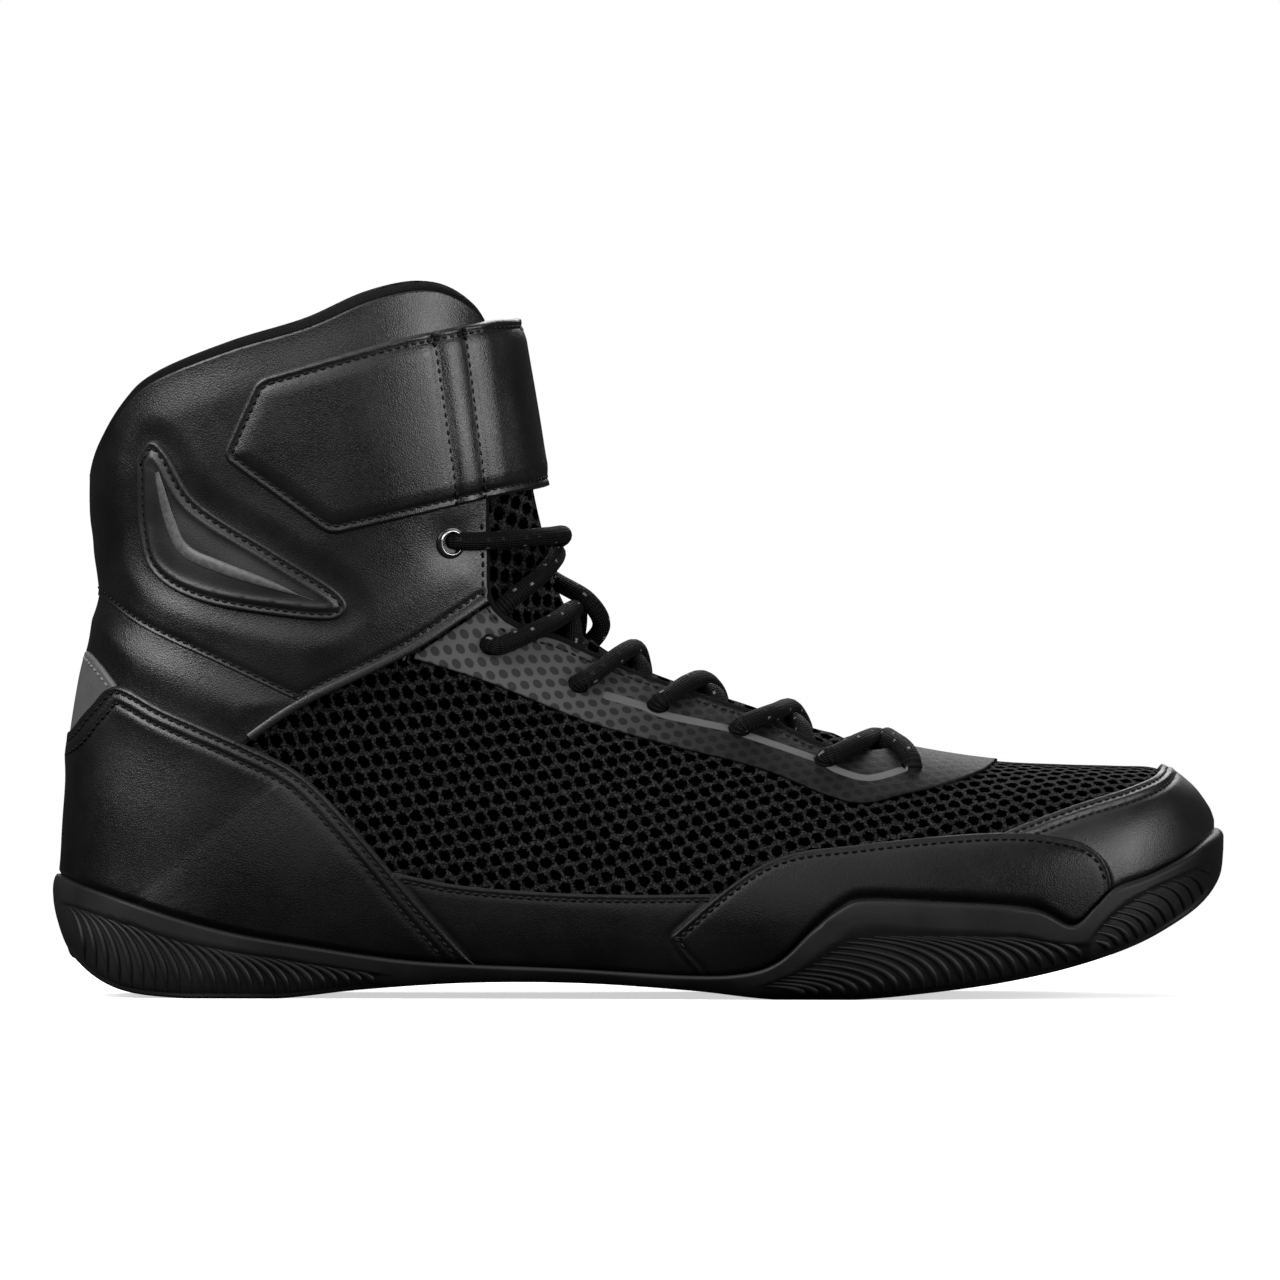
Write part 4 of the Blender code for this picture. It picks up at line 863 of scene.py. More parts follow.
def distance_to(places, points):
    """Distances from points to the nearest of some places."""
    tree = kdtree.KDTree(len(places))
    for index, place in enumerate(places):
        tree.insert(place, index)
    tree.balance()
    return np.array([tree.find(point)[2] for point in points.reshape(-1, 3)]).reshape(points.shape[:-1])


SNAP = 0.05                                # points this near a cut are moved on to it


def slice_at(data, triangles, level, drop):
    """Cut triangles along a level of their points' first value, dropping what is below if asked."""
    data[np.abs(data[:, 0] - level) < SNAP, 0] = level
    sign = np.sign(data[:, 0] - level).astype(int)
    low, high = sign[triangles].min(1), sign[triangles].max(1)
    crossing = (low < 0) & (high > 0)
    kept = triangles[~crossing & (high > 0) | (~crossing & (not drop))]
    added, made, pieces = [], {}, []
    for triangle in triangles[crossing].tolist():
        over, under = [], []
        for a, b in zip(triangle, triangle[1:] + triangle[:1]):
            if sign[a] >= 0:
                over.append(a)
            if sign[a] <= 0:
                under.append(a)
            if sign[a] * sign[b] < 0:
                key = (min(a, b), max(a, b))
                if key not in made:
                    made[key] = len(data) + len(added)
                    share = (level - data[a, 0]) / (data[b, 0] - data[a, 0])
                    added.append(data[a] + (data[b] - data[a]) * share)
                over.append(made[key])
                under.append(made[key])
        for part in (over,) if drop else (over, under):
            pieces += [(part[0], part[index], part[index + 1]) for index in range(1, len(part) - 1)]
    if added:
        data = np.concatenate((data, added))
        kept = np.concatenate((kept, np.array(pieces, int)))
    return data, kept


GRID_T = np.linspace(0, len(LAST) - 1.0, 23 * (len(LAST) - 1) + 1)
GRID_SHARE = np.linspace(0, 1, 100)
EVEN_ROUNDS = 200
BOX_ROOM, FAR_OFF = 2.5, -5.0              # room round an outline; what lies beyond counts as far off
OPEN_THROAT = 0.4                          # rows with a wider throat than this are open
CLOSED_HEEL = 17                           # from this row on the two sides meet at the back
RIM_LEVELS, ROW_LEVELS = (0.12, 0.45, 1.0), (-0.7, 0.0, 0.7)
UNDERSIDE = 0.15                           # how far an overlay's underside lies in the cloth
PINCHED, PINCH_FROM, PINCH_TO = 0.3, -0.3, 2.2     # its thickness in the sole's rim, rising above it


def evened(values, faces, share):
    """Values at a surface's points, evened out with their neighbours by a share at each point."""
    pairs = np.concatenate((faces[:, :2], faces[:, 1:], faces[:, ::2]))
    start, stop = np.concatenate((pairs, pairs[:, ::-1])).T
    count = len(values)
    many = np.bincount(start, minlength=count)
    for _ in range(EVEN_ROUNDS):
        around = np.stack([np.bincount(start, values[stop, axis], count) for axis in range(3)], 1)
        values = values + (around / many[:, None] - values) * share[:, None]
    return values


def inside_gap(drawn, t, turn, side, throat, holes):
    """How far points of the last lie inside an outline and clear of throat and lace holes."""
    point = surface(t, turn, side)
    lowest, highest = drawn.min(0) - BOX_ROOM, drawn.max(0) + BOX_ROOM
    near = ((point[..., 0] > lowest[0]) & (point[..., 0] < highest[0])
            & (point[..., 2] > lowest[1]) & (point[..., 2] < highest[1]))
    gap = np.full(t.shape, FAR_OFF)
    gap[near] = distance_to(marked(drawn, sides=(side,)), point[near])
    gap = np.where(within(drawn, point[..., 0], point[..., 2]), np.abs(gap), -np.abs(gap))
    if throat:
        opened = last_rows(t)[..., THROAT] > OPEN_THROAT
        gap = np.where(opened, np.minimum(gap, np.linalg.norm(point - point[:, :1], axis=-1)), gap)
    for hole in holes:
        (middle,) = marked(np.array((hole,)), sides=(side,))
        gap = np.minimum(gap, np.linalg.norm(point - middle, axis=-1) - LACE_HOLE_RADIUS)
    return gap


def used_only(data, faces):
    """Points that faces use, and the faces numbered by them."""
    used, faces = np.unique(faces, return_inverse=True)
    return data[used], faces.reshape(-1, 3)


def panel(name, outline, finish, replaced, thickness, rim=0.8, seat=0.3, sides=SIDES, relief=None,
          throat=False, holes=(), reach=None, stripe=None, rows=(), soften=None):
    """An overlay cut to an outline from the last's surface, with a rounded edge and a closed underside."""
    t, share = np.meshgrid(GRID_T, GRID_SHARE, indexing="ij")
    turn = spread_turn(t, share) if reach is None else share * reach
    edge_gap = {side: inside_gap(outline[side] if isinstance(outline, dict) else outline, t, turn, side,
                                 throat, holes) for side in sides}
    if len(sides) == 2:
        shared = np.zeros(t.shape, bool)
        shared[:, 0] = turn[:, 0] < 1e-6
        shared[:, -1] = (t[:, -1] >= CLOSED_HEEL) & (turn[:, -1] > 1.999)
        shared[0] = True
        mean = (edge_gap[LATERAL] + edge_gap[MEDIAL]) / 2
        edge_gap = {side: np.where(shared, mean, gap) for side, gap in edge_gap.items()}
    levels = [level * rim for level in RIM_LEVELS] + [row + step for row in rows for step in ROW_LEVELS]
    points, normals, gaps, blocks, count = [], [], [], [], 0
    for side in sides:
        data = np.stack((edge_gap[side].ravel(), t.ravel(), turn.ravel()), -1)
        kept = grid_faces(t.shape, side)
        data, kept = used_only(data, kept[(data[kept, 0] > 0).any(1)])
        data, kept = slice_at(data, kept, 0.0, True)
        for level in levels:
            data, kept = slice_at(data, kept, level, False)
        data, kept = used_only(data, kept)
        points.append(surface(data[:, 1], data[:, 2], side))
        normals.append(outward(data[:, 1], data[:, 2], side))
        gaps.append(data[:, 0])
        blocks.append(kept + count)
        count += len(data)
    points, normals, gaps = np.concatenate(points), np.concatenate(normals), np.concatenate(gaps)
    same, normals = joined(points, normals)
    _, first = np.unique(same, return_index=True)
    points, normals, gaps = points[first], normals[first], gaps[first]
    faces = same[np.concatenate(blocks)]
    a, b, c = faces.T
    faces = faces[(a != b) & (b != c) & (c != a)]
    if soften is not None:
        share = soften(points, gaps)
        calm = evened(points, faces, share)
        points, normals = calm + evened(points - calm, faces, share), unit(evened(normals, faces, share))
    rounded_edge = np.sqrt(np.clip(1 - (1 - np.clip(gaps / rim, 0, 1)) ** 2, 0, 1))
    over_sole = points[:, 2] - np.interp(points[:, 0], rim_line[:, 0], rim_line[:, 1])
    height = thickness * rounded_edge * (PINCHED + (1 - PINCHED) * step_up(over_sole, PINCH_FROM, PINCH_TO))
    if relief is not None:
        height = height + relief(points, gaps) * rounded_edge
    values = {"edge": np.tile(gaps, 2)}
    if stripe is not None:
        values["stripe"] = np.tile(distance_to(marked(stripe, sides=sides), points), 2)
    flat_t, flat_turn = find(points[:, 0], points[:, 2])
    flat_side = np.where(points[:, 1] < last_rows(flat_t)[:, RIDGE], LATERAL, MEDIAL)
    uv = laid_flat(points, flat_t, flat_turn, flat_side)
    both = np.concatenate((points + normals * (seat + height)[:, None], points - normals * UNDERSIDE))
    return make_piece(name, both, np.concatenate(shell_faces(faces, np.arange(len(points)))), [finish],
                      replaced, np.concatenate((uv, uv)), weld=0.004, values=values)


def beside(line, away):
    """A drawn line moved sideways, to the left of its run."""
    run = unit(np.gradient(line, axis=0))
    return line + np.stack((-run[:, 1], run[:, 0]), 1) * away


SEAM_EVERY = 4                             # a seam follows every fourth point of a drawn line


def seam(line, side, height):
    """A path for stitches along a drawn line, at a height over the last."""
    point, t, turn = on_last(line[::SEAM_EVERY], side)
    out = outward(t, turn, side)
    return point + out * height, out, 1.0


def seams(line, height):
    """The same path on both sides."""
    return [seam(line, side, height) for side in SIDES]


def swelling(away, height, width):
    """A soft swelling (or, where negative, a hollow) by the distance from its middle."""
    return height * np.exp(-(away / width) ** 2)


def trough(points, lines, depth, width):
    """How far stitches along drawn lines pull a surface in."""
    return swelling(distance_to(marked(*lines), points), -depth, width)


# A row of stitches: one small rounded thread after another along a path
stitch, start, end, node = socket_tree("stitch_row", {
    "Pitch": "Float", "Long": "Float", "Thick": "Float", "Finish": "Material"})
curve = node("GeometryNodeMeshToCurve", Mesh=start.outputs["Path"]).outputs[0]
curve = node("GeometryNodeResampleCurve", {"mode": "LENGTH"}, Curve=curve,
             Length=start.outputs["Pitch"]).outputs[0]
ahead = node("FunctionNodeAlignRotationToVector", {"axis": "X"},
             Vector=node("GeometryNodeInputTangent").outputs[0]).outputs[0]
thread = node("GeometryNodeMeshUVSphere", Segments=8, Rings=6, Radius=0.5).outputs["Mesh"]
size = node("ShaderNodeCombineXYZ", X=start.outputs["Long"], Y=start.outputs["Thick"],
            Z=start.outputs["Thick"])
placed = node("GeometryNodeInstanceOnPoints", Points=curve, Instance=thread, Rotation=ahead,
              Scale=size.outputs[0]).outputs[0]
placed = node("GeometryNodeRealizeInstances", Geometry=placed).outputs[0]
placed = node("GeometryNodeSetShadeSmooth", Geometry=placed, Shade_Smooth=True).outputs[0]
placed = node("GeometryNodeSetMaterial", Geometry=placed, Material=start.outputs["Finish"]).outputs[0]
stitch.links.new(placed, end.inputs["Made"])


def thread_finish(name, dark, light):
    """Waxed sewing thread."""
    finish, shader, node, link = new_finish(name, light, 0.6)
    shader.inputs["Specular IOR Level"].default_value = 0.2
    ply = noise(node, 5200.0, 2.0)
    link(tint(node, ramp(node, ply, 0.35, 0.65), dark, light), "Base Color")
    link(bump(node, ply, 0.5, 0.0001), "Normal")
    return finish


black_thread = thread_finish("black_thread", (0.0006, 0.0006, 0.0006), (0.0022, 0.0022, 0.0022))
STITCH_PITCH, STITCH_LONG, STITCH_THICK = 2.15, 1.55, 0.7


def sew(name, paths, finish=black_thread, slot="black_leather"):
    """Stitches along paths."""
    grow(name, stitch, paths, slot, pitch=STITCH_PITCH * MM, long=STITCH_LONG * MM, thick=STITCH_THICK * MM,
         finish=finish)


LEATHER_DARK, LEATHER_LIGHT = (0.0016, 0.0016, 0.0017), (0.003, 0.003, 0.0032)
# Colour of the cut edges: the raw edge's grey, together with a painted highlight along them.
GREY_EDGE_AND_HIGHLIGHT = (0.018, 0.018, 0.0185)
LEATHER_GLOSS, LEATHER_GRAIN = 0.35, 0.16
DULL_BELOW, BRIGHT_ABOVE = 0.022, 0.062    # heights between which the sheen rises from low to high


def leather_finish(name, dark=LEATHER_DARK, light=LEATHER_LIGHT, edge=GREY_EDGE_AND_HIGHLIGHT, gloss=LEATHER_GLOSS,
                   grain=LEATHER_GRAIN, shine=(0.5, 0.5)):
    """Coated synthetic leather: fine grain, a cut edge coloured as its grey raw edge with a painted
    highlight, and a sheen given low and high on the shoe.
    """
    finish, _, node, link = new_finish(name, light, gloss)
    where = node("ShaderNodeTexCoord").outputs["Object"]
    bent = node("ShaderNodeMix", data_type="VECTOR")
    bent.inputs[0].default_value = 0.0016
    finish.node_tree.links.new(where, bent.inputs[4])
    finish.node_tree.links.new(node("ShaderNodeTexNoise", where, Scale=420.0, Detail=2.0).outputs["Color"],
                               bent.inputs[5])
    pebble = node("ShaderNodeTexVoronoi", bent.outputs[1], Scale=1650.0, feature="DISTANCE_TO_EDGE")
    wear = noise(node, 55.0, 5.0, 0.6)
    from_edge = node("ShaderNodeAttribute", attribute_name="edge").outputs["Fac"]
    body = tint(node, ramp(node, wear, 0.3, 0.7), dark, light)
    # Within about half a millimetre of the cut the colour turns to the edge colour: the raw edge, partly a
    # painted highlight.
    link(tint(node, ramp(node, from_edge, 0.12, 0.5), edge, body), "Base Color")
    link(ramp(node, wear, 0.25, 0.75, gloss - 0.05, gloss + 0.07), "Roughness")
    link(bump(node, ramp(node, pebble.outputs["Distance"], 0.0, 0.35), grain, 0.00025), "Normal")
    height = node("ShaderNodeSeparateXYZ", where).outputs["Z"]
    link(ramp(node, height, DULL_BELOW, BRIGHT_ABOVE, *shine), "Specular IOR Level")
    return finish


leather = leather_finish("synthetic_leather", shine=(0.14, 0.5))
WRAPPED = 2.0                              # the reach of an overlay that starts from the shoe's ridge
RAND_THICK, RAND_ROW, RAND_SUNK = 1.1, 1.7, 0.25


def sunk_row(row, depth):
    """The relief of one row of stitches at a distance from the edge."""
    return lambda points, gaps: swelling(gaps - row, -depth, 0.7)


rand_front = FOREFOOT_LINE[:np.argmax((FOREFOOT_LINE[:, 0] > 168) & (FOREFOOT_LINE[:, 1] > 20))]
rand_outline = np.concatenate((stretch(COUNTER_LINE, 82, 105.4) - (TUCK, 0.0),
                               stretch(tucked_rim, 105.4, 160.5), rand_front + (TUCK, 0.0), RAND_LINE[::-1]))
for side, label in SIDES.items():
    panel(f"rand_{label}_leather", rand_outline, leather, [f"rand_{label}"], RAND_THICK,
          sides=(side,), reach=WRAPPED, rows=(RAND_ROW,), relief=sunk_row(RAND_ROW, RAND_SUNK))
sew("rand_stitches", seams(stretch(beside(RAND_LINE, -RAND_ROW), 88, 164), height=1.45))


# The toe cap: synthetic leather wrapped round the toe, stitched to the mesh along a padded ridge
# at its back edge and cemented into the sole's raised toe.
TOE_CAP_LINE = cut_line((229.0, 38.0), (237.0, 41.6), (250.3, 46.4), (264.6, 50.7), (272.0, 54.0),
                        (274.2, 58.0), (274.4, 66.0))
TOE_CAP_THICK, TOE_CAP_RIM = 1.3, 1.1
TOE_ROWS, TOE_RIDGE = (1.2, 3.4), 2.3
forefoot_top = FOREFOOT_LINE[np.argmax((FOREFOOT_LINE[:, 0] > 176) & (FOREFOOT_LINE[:, 1] > 30)):]
toe_outline = np.concatenate((TOE_CAP_LINE, ((300.0, 66.0),), stretch(tucked_rim, 259, 300)[::-1],
                              stretch(forefoot_top, 229, 262)[::-1] - (0.0, TUCK)))
toe_rows = [beside(TOE_CAP_LINE, -away) for away in TOE_ROWS]


def toe_relief(points, gaps):
    """A padded ridge between the two stitch rows."""
    ridge = distance_to(marked(beside(TOE_CAP_LINE, -TOE_RIDGE)), points)
    return trough(points, toe_rows, depth=0.4, width=0.8) + swelling(ridge, height=0.3, width=0.8)


cap_leather = leather_finish("toe_cap_leather", gloss=0.41)
panel("toe_cap_leather", toe_outline, cap_leather, ["toe_cap"], TOE_CAP_THICK,
      rim=TOE_CAP_RIM, relief=toe_relief, reach=WRAPPED, rows=(TOE_ROWS[0], TOE_RIDGE, TOE_ROWS[1]))
sew("toe_cap_stitches", [path for row in toe_rows for path in seams(row, height=1.35)])


# The forefoot overlays: a leather wing on each side of the ball, lapped over toe cap and rand and
# stitched all along its upper edge.
FOREFOOT_THICK, FOREFOOT_ROW, FOREFOOT_SUNK = 1.7, 1.8, 0.35
forefoot_outline = np.concatenate((FOREFOOT_LINE, stretch(tucked_rim, 160.5, 261.2)[::-1]))
for side, label in SIDES.items():
    panel(f"forefoot_{label}_leather", forefoot_outline, leather,
          [f"forefoot_panel_{label}"], FOREFOOT_THICK, sides=(side,), reach=WRAPPED, rows=(FOREFOOT_ROW,),
          relief=sunk_row(FOREFOOT_ROW, FOREFOOT_SUNK))
sew("forefoot_stitches", seams(beside(FOREFOOT_LINE[45:-20], -FOREFOOT_ROW), height=2.0))


# The heel band: a soft leather strip between the counter and the cuff, stitched under both, and
# meeting the mesh at the front in the slanting seam.
HEEL_TAB_LINE = cut_line((-8.0, 89.0), (8.6, 85.4), (17.4, 76.4))
BAND_LINE = cut_line((-8.0, 112.0), (10.0, 100.6), (22.7, 90.8), (41.5, 81.8), (62.4, 71.8))
DIAGONAL_LINE = cut_line((48.4, 62.2), (62.4, 71.8), (86.9, 84.0), (99.7, 92.1), (112.0, 100.6),
                         (122.0, 108.0))
BAND_THICK, BAND_SWELL = 1.0, 0.8
band_outline = np.concatenate((BAND_LINE + (0.0, TUCK), stretch(DIAGONAL_LINE, 48.4, 62.4)[::-1],
                               stretch(COUNTER_LINE, 17.4, 48.4)[::-1] - (0.0, TUCK), HEEL_TAB_LINE[::-1]))
panel("heel_band_leather", band_outline, leather, ["heel_band"], BAND_THICK,
      relief=lambda points, gaps: BAND_SWELL * step_up(gaps, 0.6, 9.0))


# The heel tab: a small grey piece of synthetic leather at the very back, between the band and the
# counter, stitched along its upper edge with grey thread.
TAB_THICK, TAB_ROW = 1.2, 1.6
tab_grey = leather_finish("grey_tab", (0.045, 0.045, 0.046), (0.066, 0.066, 0.0675), (0.1, 0.1, 0.102),
                          gloss=0.55, grain=0.12)
grey_thread = thread_finish("grey_thread", (0.1, 0.1, 0.1), (0.2, 0.2, 0.2))
tab_outline = np.concatenate((HEEL_TAB_LINE, stretch(COUNTER_LINE, -8, 17.4)[::-1] - (0.0, TUCK)))
panel("heel_tab_film", tab_outline, tab_grey, ["heel_tab"], TAB_THICK)
sew("heel_tab_stitches", seams(beside(HEEL_TAB_LINE, -TAB_ROW), height=1.5), grey_thread, "grey_tab")


# The heel counter: a stiff moulded leather cup round the heel, stitched over the band and tab with
# two rows and set down into the sole's rim.
COUNTER_THICK, COUNTER_RIM = 1.8, 1.0
COUNTER_ROWS, COUNTER_RIDGE = (1.8, 4.4), 3.1
counter_outline = np.concatenate((COUNTER_LINE, stretch(tucked_rim, -8, 105.4)[::-1]))
counter_rows = [beside(COUNTER_LINE, -away) for away in COUNTER_ROWS]
counter_edge = marked(COUNTER_LINE)


def counter_calm(points, gaps):
    """How much the moulding evens the heel's form: wholly below the stitches, not at the edges."""
    return 0.9 * step_up(gaps, 0.0, 2.0) * step_up(distance_to(counter_edge, points), 5.5, 10.0)


panel("heel_counter_leather", counter_outline, leather, ["heel_counter"], COUNTER_THICK,
      rim=COUNTER_RIM, relief=lambda points, gaps: trough(points, counter_rows, depth=0.4, width=0.8),
      rows=(COUNTER_ROWS[0], COUNTER_RIDGE, COUNTER_ROWS[1]), reach=WRAPPED, soften=counter_calm)
sew("heel_counter_stitches",
    [path for row in counter_rows for path in seams(row[row[:, 1] > 12], height=1.85)])


# The eyestay: a thin grey film along both sides of the throat, joined before it, printed with the
# mesh's own dots and a pale line, and punched for the lace.
EYESTAY_LINE = cut_line((86.9, 84.0), (108.3, 77.1), (132.0, 67.6), (153.0, 61.6), (174.7, 56.0),
                        (191.2, 49.4), (199.7, 47.6), (209.0, 49.6), (224.0, 53.4), (233.0, 58.0),
                        (235.0, 66.0))
FILM_STRIPE = cut_line((137.0, 73.6), (145.2, 71.2), (151.8, 68.7), (167.6, 65.3), (171.5, 63.8),
                       (188.5, 57.9), (193.7, 55.2), (201.1, 53.4), (209.5, 55.4))
FILM_PITCH, FILM_ROW = 5.4, 2.05
FILM_DOT, FILM_STRIPE_HALF = (1.02, 1.3), (1.2, 1.45)
FILM_FADES = (104.0, 172.0)                # from the grey at the ankle to near black at the toe
FILM_THICK, FILM_RIM, FILM_SEAT = 0.45, 0.4, 0.2
film, shader, node, link = new_finish("printed_film", (0.06, 0.06, 0.061), 0.5)
along = node("ShaderNodeSeparateXYZ", node("ShaderNodeUVMap", uv_map="UVMap").outputs[0]).outputs[0]
ground = tint(node, ramp(node, along, *FILM_FADES), (0.066, 0.066, 0.0675), (0.0062, 0.0062, 0.0064))
dot = ramp(node, yarn_lattice(node, FILM_PITCH, FILM_ROW), *FILM_DOT)
dotted = tint(node, 1.0, ground, tint(node, dot, (0.33, 0.33, 0.33), (1.0, 1.0, 1.0)), "MULTIPLY")
from_stripe = node("ShaderNodeAttribute", attribute_name="stripe").outputs["Fac"]
stripe = ramp(node, from_stripe, *FILM_STRIPE_HALF, 1.0, 0.0)
link(tint(node, stripe, dotted, (0.07, 0.07, 0.0715)), "Base Color")
fine = noise(node, 1800.0, 3.0)
link(bump(node, maths(node, "ADD", dot, fine), 0.25, 0.0002), "Normal")
link(ramp(node, fine, 0.3, 0.7, 0.5, 0.64), "Roughness")
shader.inputs["Specular IOR Level"].default_value = 0.1
stay_outline = np.concatenate((stretch(DIAGONAL_LINE, 86.9, 122) - (0.0, TUCK),
                               ((160.0, 112.0), (235.0, 84.0)), EYESTAY_LINE[::-1]))
panel("eyestay_film", stay_outline, film, ["eyestay"], FILM_THICK, rim=FILM_RIM, seat=FILM_SEAT,
      throat=True, holes=LACE_HOLES, stripe=FILM_STRIPE)


# The tongue: padded open mesh under the throat, its middle swelling up to the lacing and its top
# standing out of the collar.
TONGUE_T = np.concatenate((np.linspace(6.7, 8.0, 20, endpoint=False), np.linspace(8.0, 24.3, 130)))
TONGUE_COLUMNS, TONGUE_MIDDLE = 49, 24
TONGUE_ACROSS = np.linspace(-1, 1, TONGUE_COLUMNS)
TONGUE_THICK, TONGUE_LAP = 4.5, 0.16       # the lap is how far it runs on under the throat's edges
TONGUE_DEEP, TONGUE_HIGH, LACED_DOWN = 2.6, 0.3, 0.8
TONGUE_OPENS, LACED_FROM, LACED_TO = 7, (7.6, 8.4), (14.4, 15.2)   # rows of the throat and the lacing
TOP_ROUNDS_FROM, TOP_ROUNDS_OVER = 23.8, 0.5
TONGUE_PITCH, TONGUE_ROW, TONGUE_HOLE = 5.4, 2.6, 1.5
# The first colour is the holes' painted shade; the lightest yarn colour carries the painted glints of the
# specks.
tongue_mesh = woven_finish("tongue_mesh", TONGUE_PITCH, TONGUE_ROW, TONGUE_HOLE, (0.0003, 0.0003, 0.0003),
                           (0.006, 0.006, 0.0061), (0.05, 0.05, 0.0505))
t = np.repeat(TONGUE_T[:, None], TONGUE_COLUMNS, 1)
side = np.where(TONGUE_ACROSS < 0, LATERAL, MEDIAL) * np.ones(t.shape)
throat = throat_turn(last_rows(t))
turn = np.abs(TONGUE_ACROSS) * (throat + TONGUE_LAP)
flat = surface(t, turn, side)
NEAR_RIDGE = 0.004                         # directions are read no nearer to the ridge than this turn
normal = outward(t, np.maximum(turn, NEAR_RIDGE), side)
opened = np.clip(t - TONGUE_OPENS, 0, 1)
under = wall_at(flat[..., 2]) + TONGUE_DEEP + TONGUE_DEEP * (1 - opened)
share = np.minimum(turn / np.maximum(throat * 0.85, 1e-3), 1)
rise = (1 - share ** 2 * (3 - 2 * share)) * opened
laced = step_up(t, *LACED_FROM) * (1 - step_up(t, *LACED_TO))
skin = flat + normal * (-under + (under - TONGUE_HIGH - LACED_DOWN * laced) * rise)[..., None]
to_top = np.clip((TONGUE_T - TOP_ROUNDS_FROM) / TOP_ROUNDS_OVER, 0, 1)[:, None]
slim = (np.sqrt(np.clip(1 - np.abs(TONGUE_ACROSS) ** 8, 0.02, 1))
        * np.sqrt(np.clip(1 - to_top ** 2, 0.03, 1)))
back = skin - normal * (TONGUE_THICK * slim)[..., None]
run = run_along(skin[:, TONGUE_MIDDLE])
arc = np.stack([run_along(row) for row in skin])
laid = np.stack((np.repeat(run[:, None], TONGUE_COLUMNS, 1), arc - arc[:, TONGUE_MIDDLE][:, None]), -1)
rings = np.concatenate((skin, back[:, ::-1]), 1)
count = rings.shape[1]
faces = ring_faces(len(rings), count).tolist()
for ring, middle, turned in ((0, rings.size // 3, False), (len(rings) - 1, rings.size // 3 + 1, True)):
    for index in range(count):
        pair = (ring * count + index, ring * count + (index + 1) % count)
        faces.append((middle, *(pair if turned else pair[::-1])))
places = np.concatenate((rings.reshape(-1, 3), rings[[0, -1]].mean(1)))
uv = np.concatenate((np.concatenate((laid, laid[:, ::-1]), 1).reshape(-1, 2), ((0.0, 0.0), (run[-1], 0.0))))
tongue = make_piece("tongue_padding", places, faces, [tongue_mesh], ["tongue"], uv, weld=0)


# The cuff: soft leather round the ankle over a stuffed collar, stitched down along its lower edge
# and bound along its top with woven tape; a narrow strip covers the slanting seam to the eyestay.
ANKLE_PAD = ((23.2, 132.0), (26.6, 136.6), (30.6, 133.4), (38.1, 121.7), (56.9, 109.2), (71.0, 99.8),
             (72.6, 94.4), (65.4, 92.6), (39.7, 96.4), (27.4, 103.6), (23.8, 116.0))
CUFF_THICK, CUFF_RIM, CUFF_ROW, STRIP_ROW = 1.3, 0.9, 1.7, 2.6
CUFF_SWELL, CUFF_HELD = 1.0, 0.2           # the stuffing, and what is left of it where the pad holds it
RING_HOLLOW, RING_HOLLOW_WIDTH = 1.2, 6.4
pad_outline = cut_line(*ANKLE_PAD, ANKLE_PAD[0])[:-1]
collar_under = cut_line(*COLLAR_LINE) - (0.0, 2.0)
cuff_outline = np.concatenate((BAND_LINE, stretch(DIAGONAL_LINE, 62.4, 122),
                               ((140.0, 116.0), (140.0, 146.0)), collar_under[::-1], ((-8.0, 120.0),)))
cuff_row = beside(BAND_LINE, CUFF_ROW)
strip_row = beside(stretch(DIAGONAL_LINE, 62.4, 107.4), STRIP_ROW)
cuff_leather = leather_finish("cuff_leather", edge=(0.002, 0.002, 0.0021))


def cuff_relief(points, gaps):
    """Stuffing that swells between the seams and sinks where the pads and rings are set."""
    to_pad = distance_to(marked(pad_outline), points)
    free = np.where(within(pad_outline, points[:, 0], points[:, 2]), 0.0, step_up(to_pad, 0.0, 7.0))
    swell = CUFF_SWELL * step_up(gaps, 0.5, 12.0) * (CUFF_HELD + (1 - CUFF_HELD) * free)
    to_ring = distance_to(marked(np.array((EYELET_PLACE,))), points)
    return (swell - swelling(to_ring, RING_HOLLOW, RING_HOLLOW_WIDTH)
            + trough(points, [cuff_row, strip_row], depth=0.35, width=0.9))


cuff = panel("cuff_leather", cuff_outline, cuff_leather, ["cuff"], CUFF_THICK, rim=CUFF_RIM,
             throat=True, relief=cuff_relief, rows=(CUFF_ROW,))


def along_throat(low, high, away, height):
    """Paths beside the throat's edges, between two rows."""
    t = np.linspace(low, high, int((high - low) * 12) + 2)
    edge = throat_turn(last_rows(t))
    step, paths = 0.02, []
    for side in SIDES:
        pace = np.linalg.norm(surface(t, edge + step, side) - surface(t, edge, side), axis=1) / step
        turn = edge + away / pace
        out = outward(t, turn, side)
        paths.append((surface(t, turn, side) + out * height, out, 1.0))
    return paths


sew("cuff_stitches", seams(stretch(cuff_row, 2, 61), height=1.5)
    + along_throat(15.2, 19.2, away=2.2, height=1.7))
sew("eyestay_stitches", along_throat(8.3, 14.6, away=3.0, height=0.72), slot="grey_film")

TWILL_AROUND, TWILL_ALONG = 34.0, 1400.0   # ribs of the weave round the tape and for each metre of it
twill, shader, node, link = new_finish("binding_tape", (0.012, 0.012, 0.012), 0.8)
spot = node("ShaderNodeSeparateXYZ", node("ShaderNodeUVMap", uv_map="UVMap").outputs[0]).outputs
slant = maths(node, "ADD", maths(node, "MULTIPLY", spot[0], TWILL_AROUND),
              maths(node, "MULTIPLY", spot[1], TWILL_ALONG))
weave = maths(node, "SINE", maths(node, "MULTIPLY", slant, math.tau))
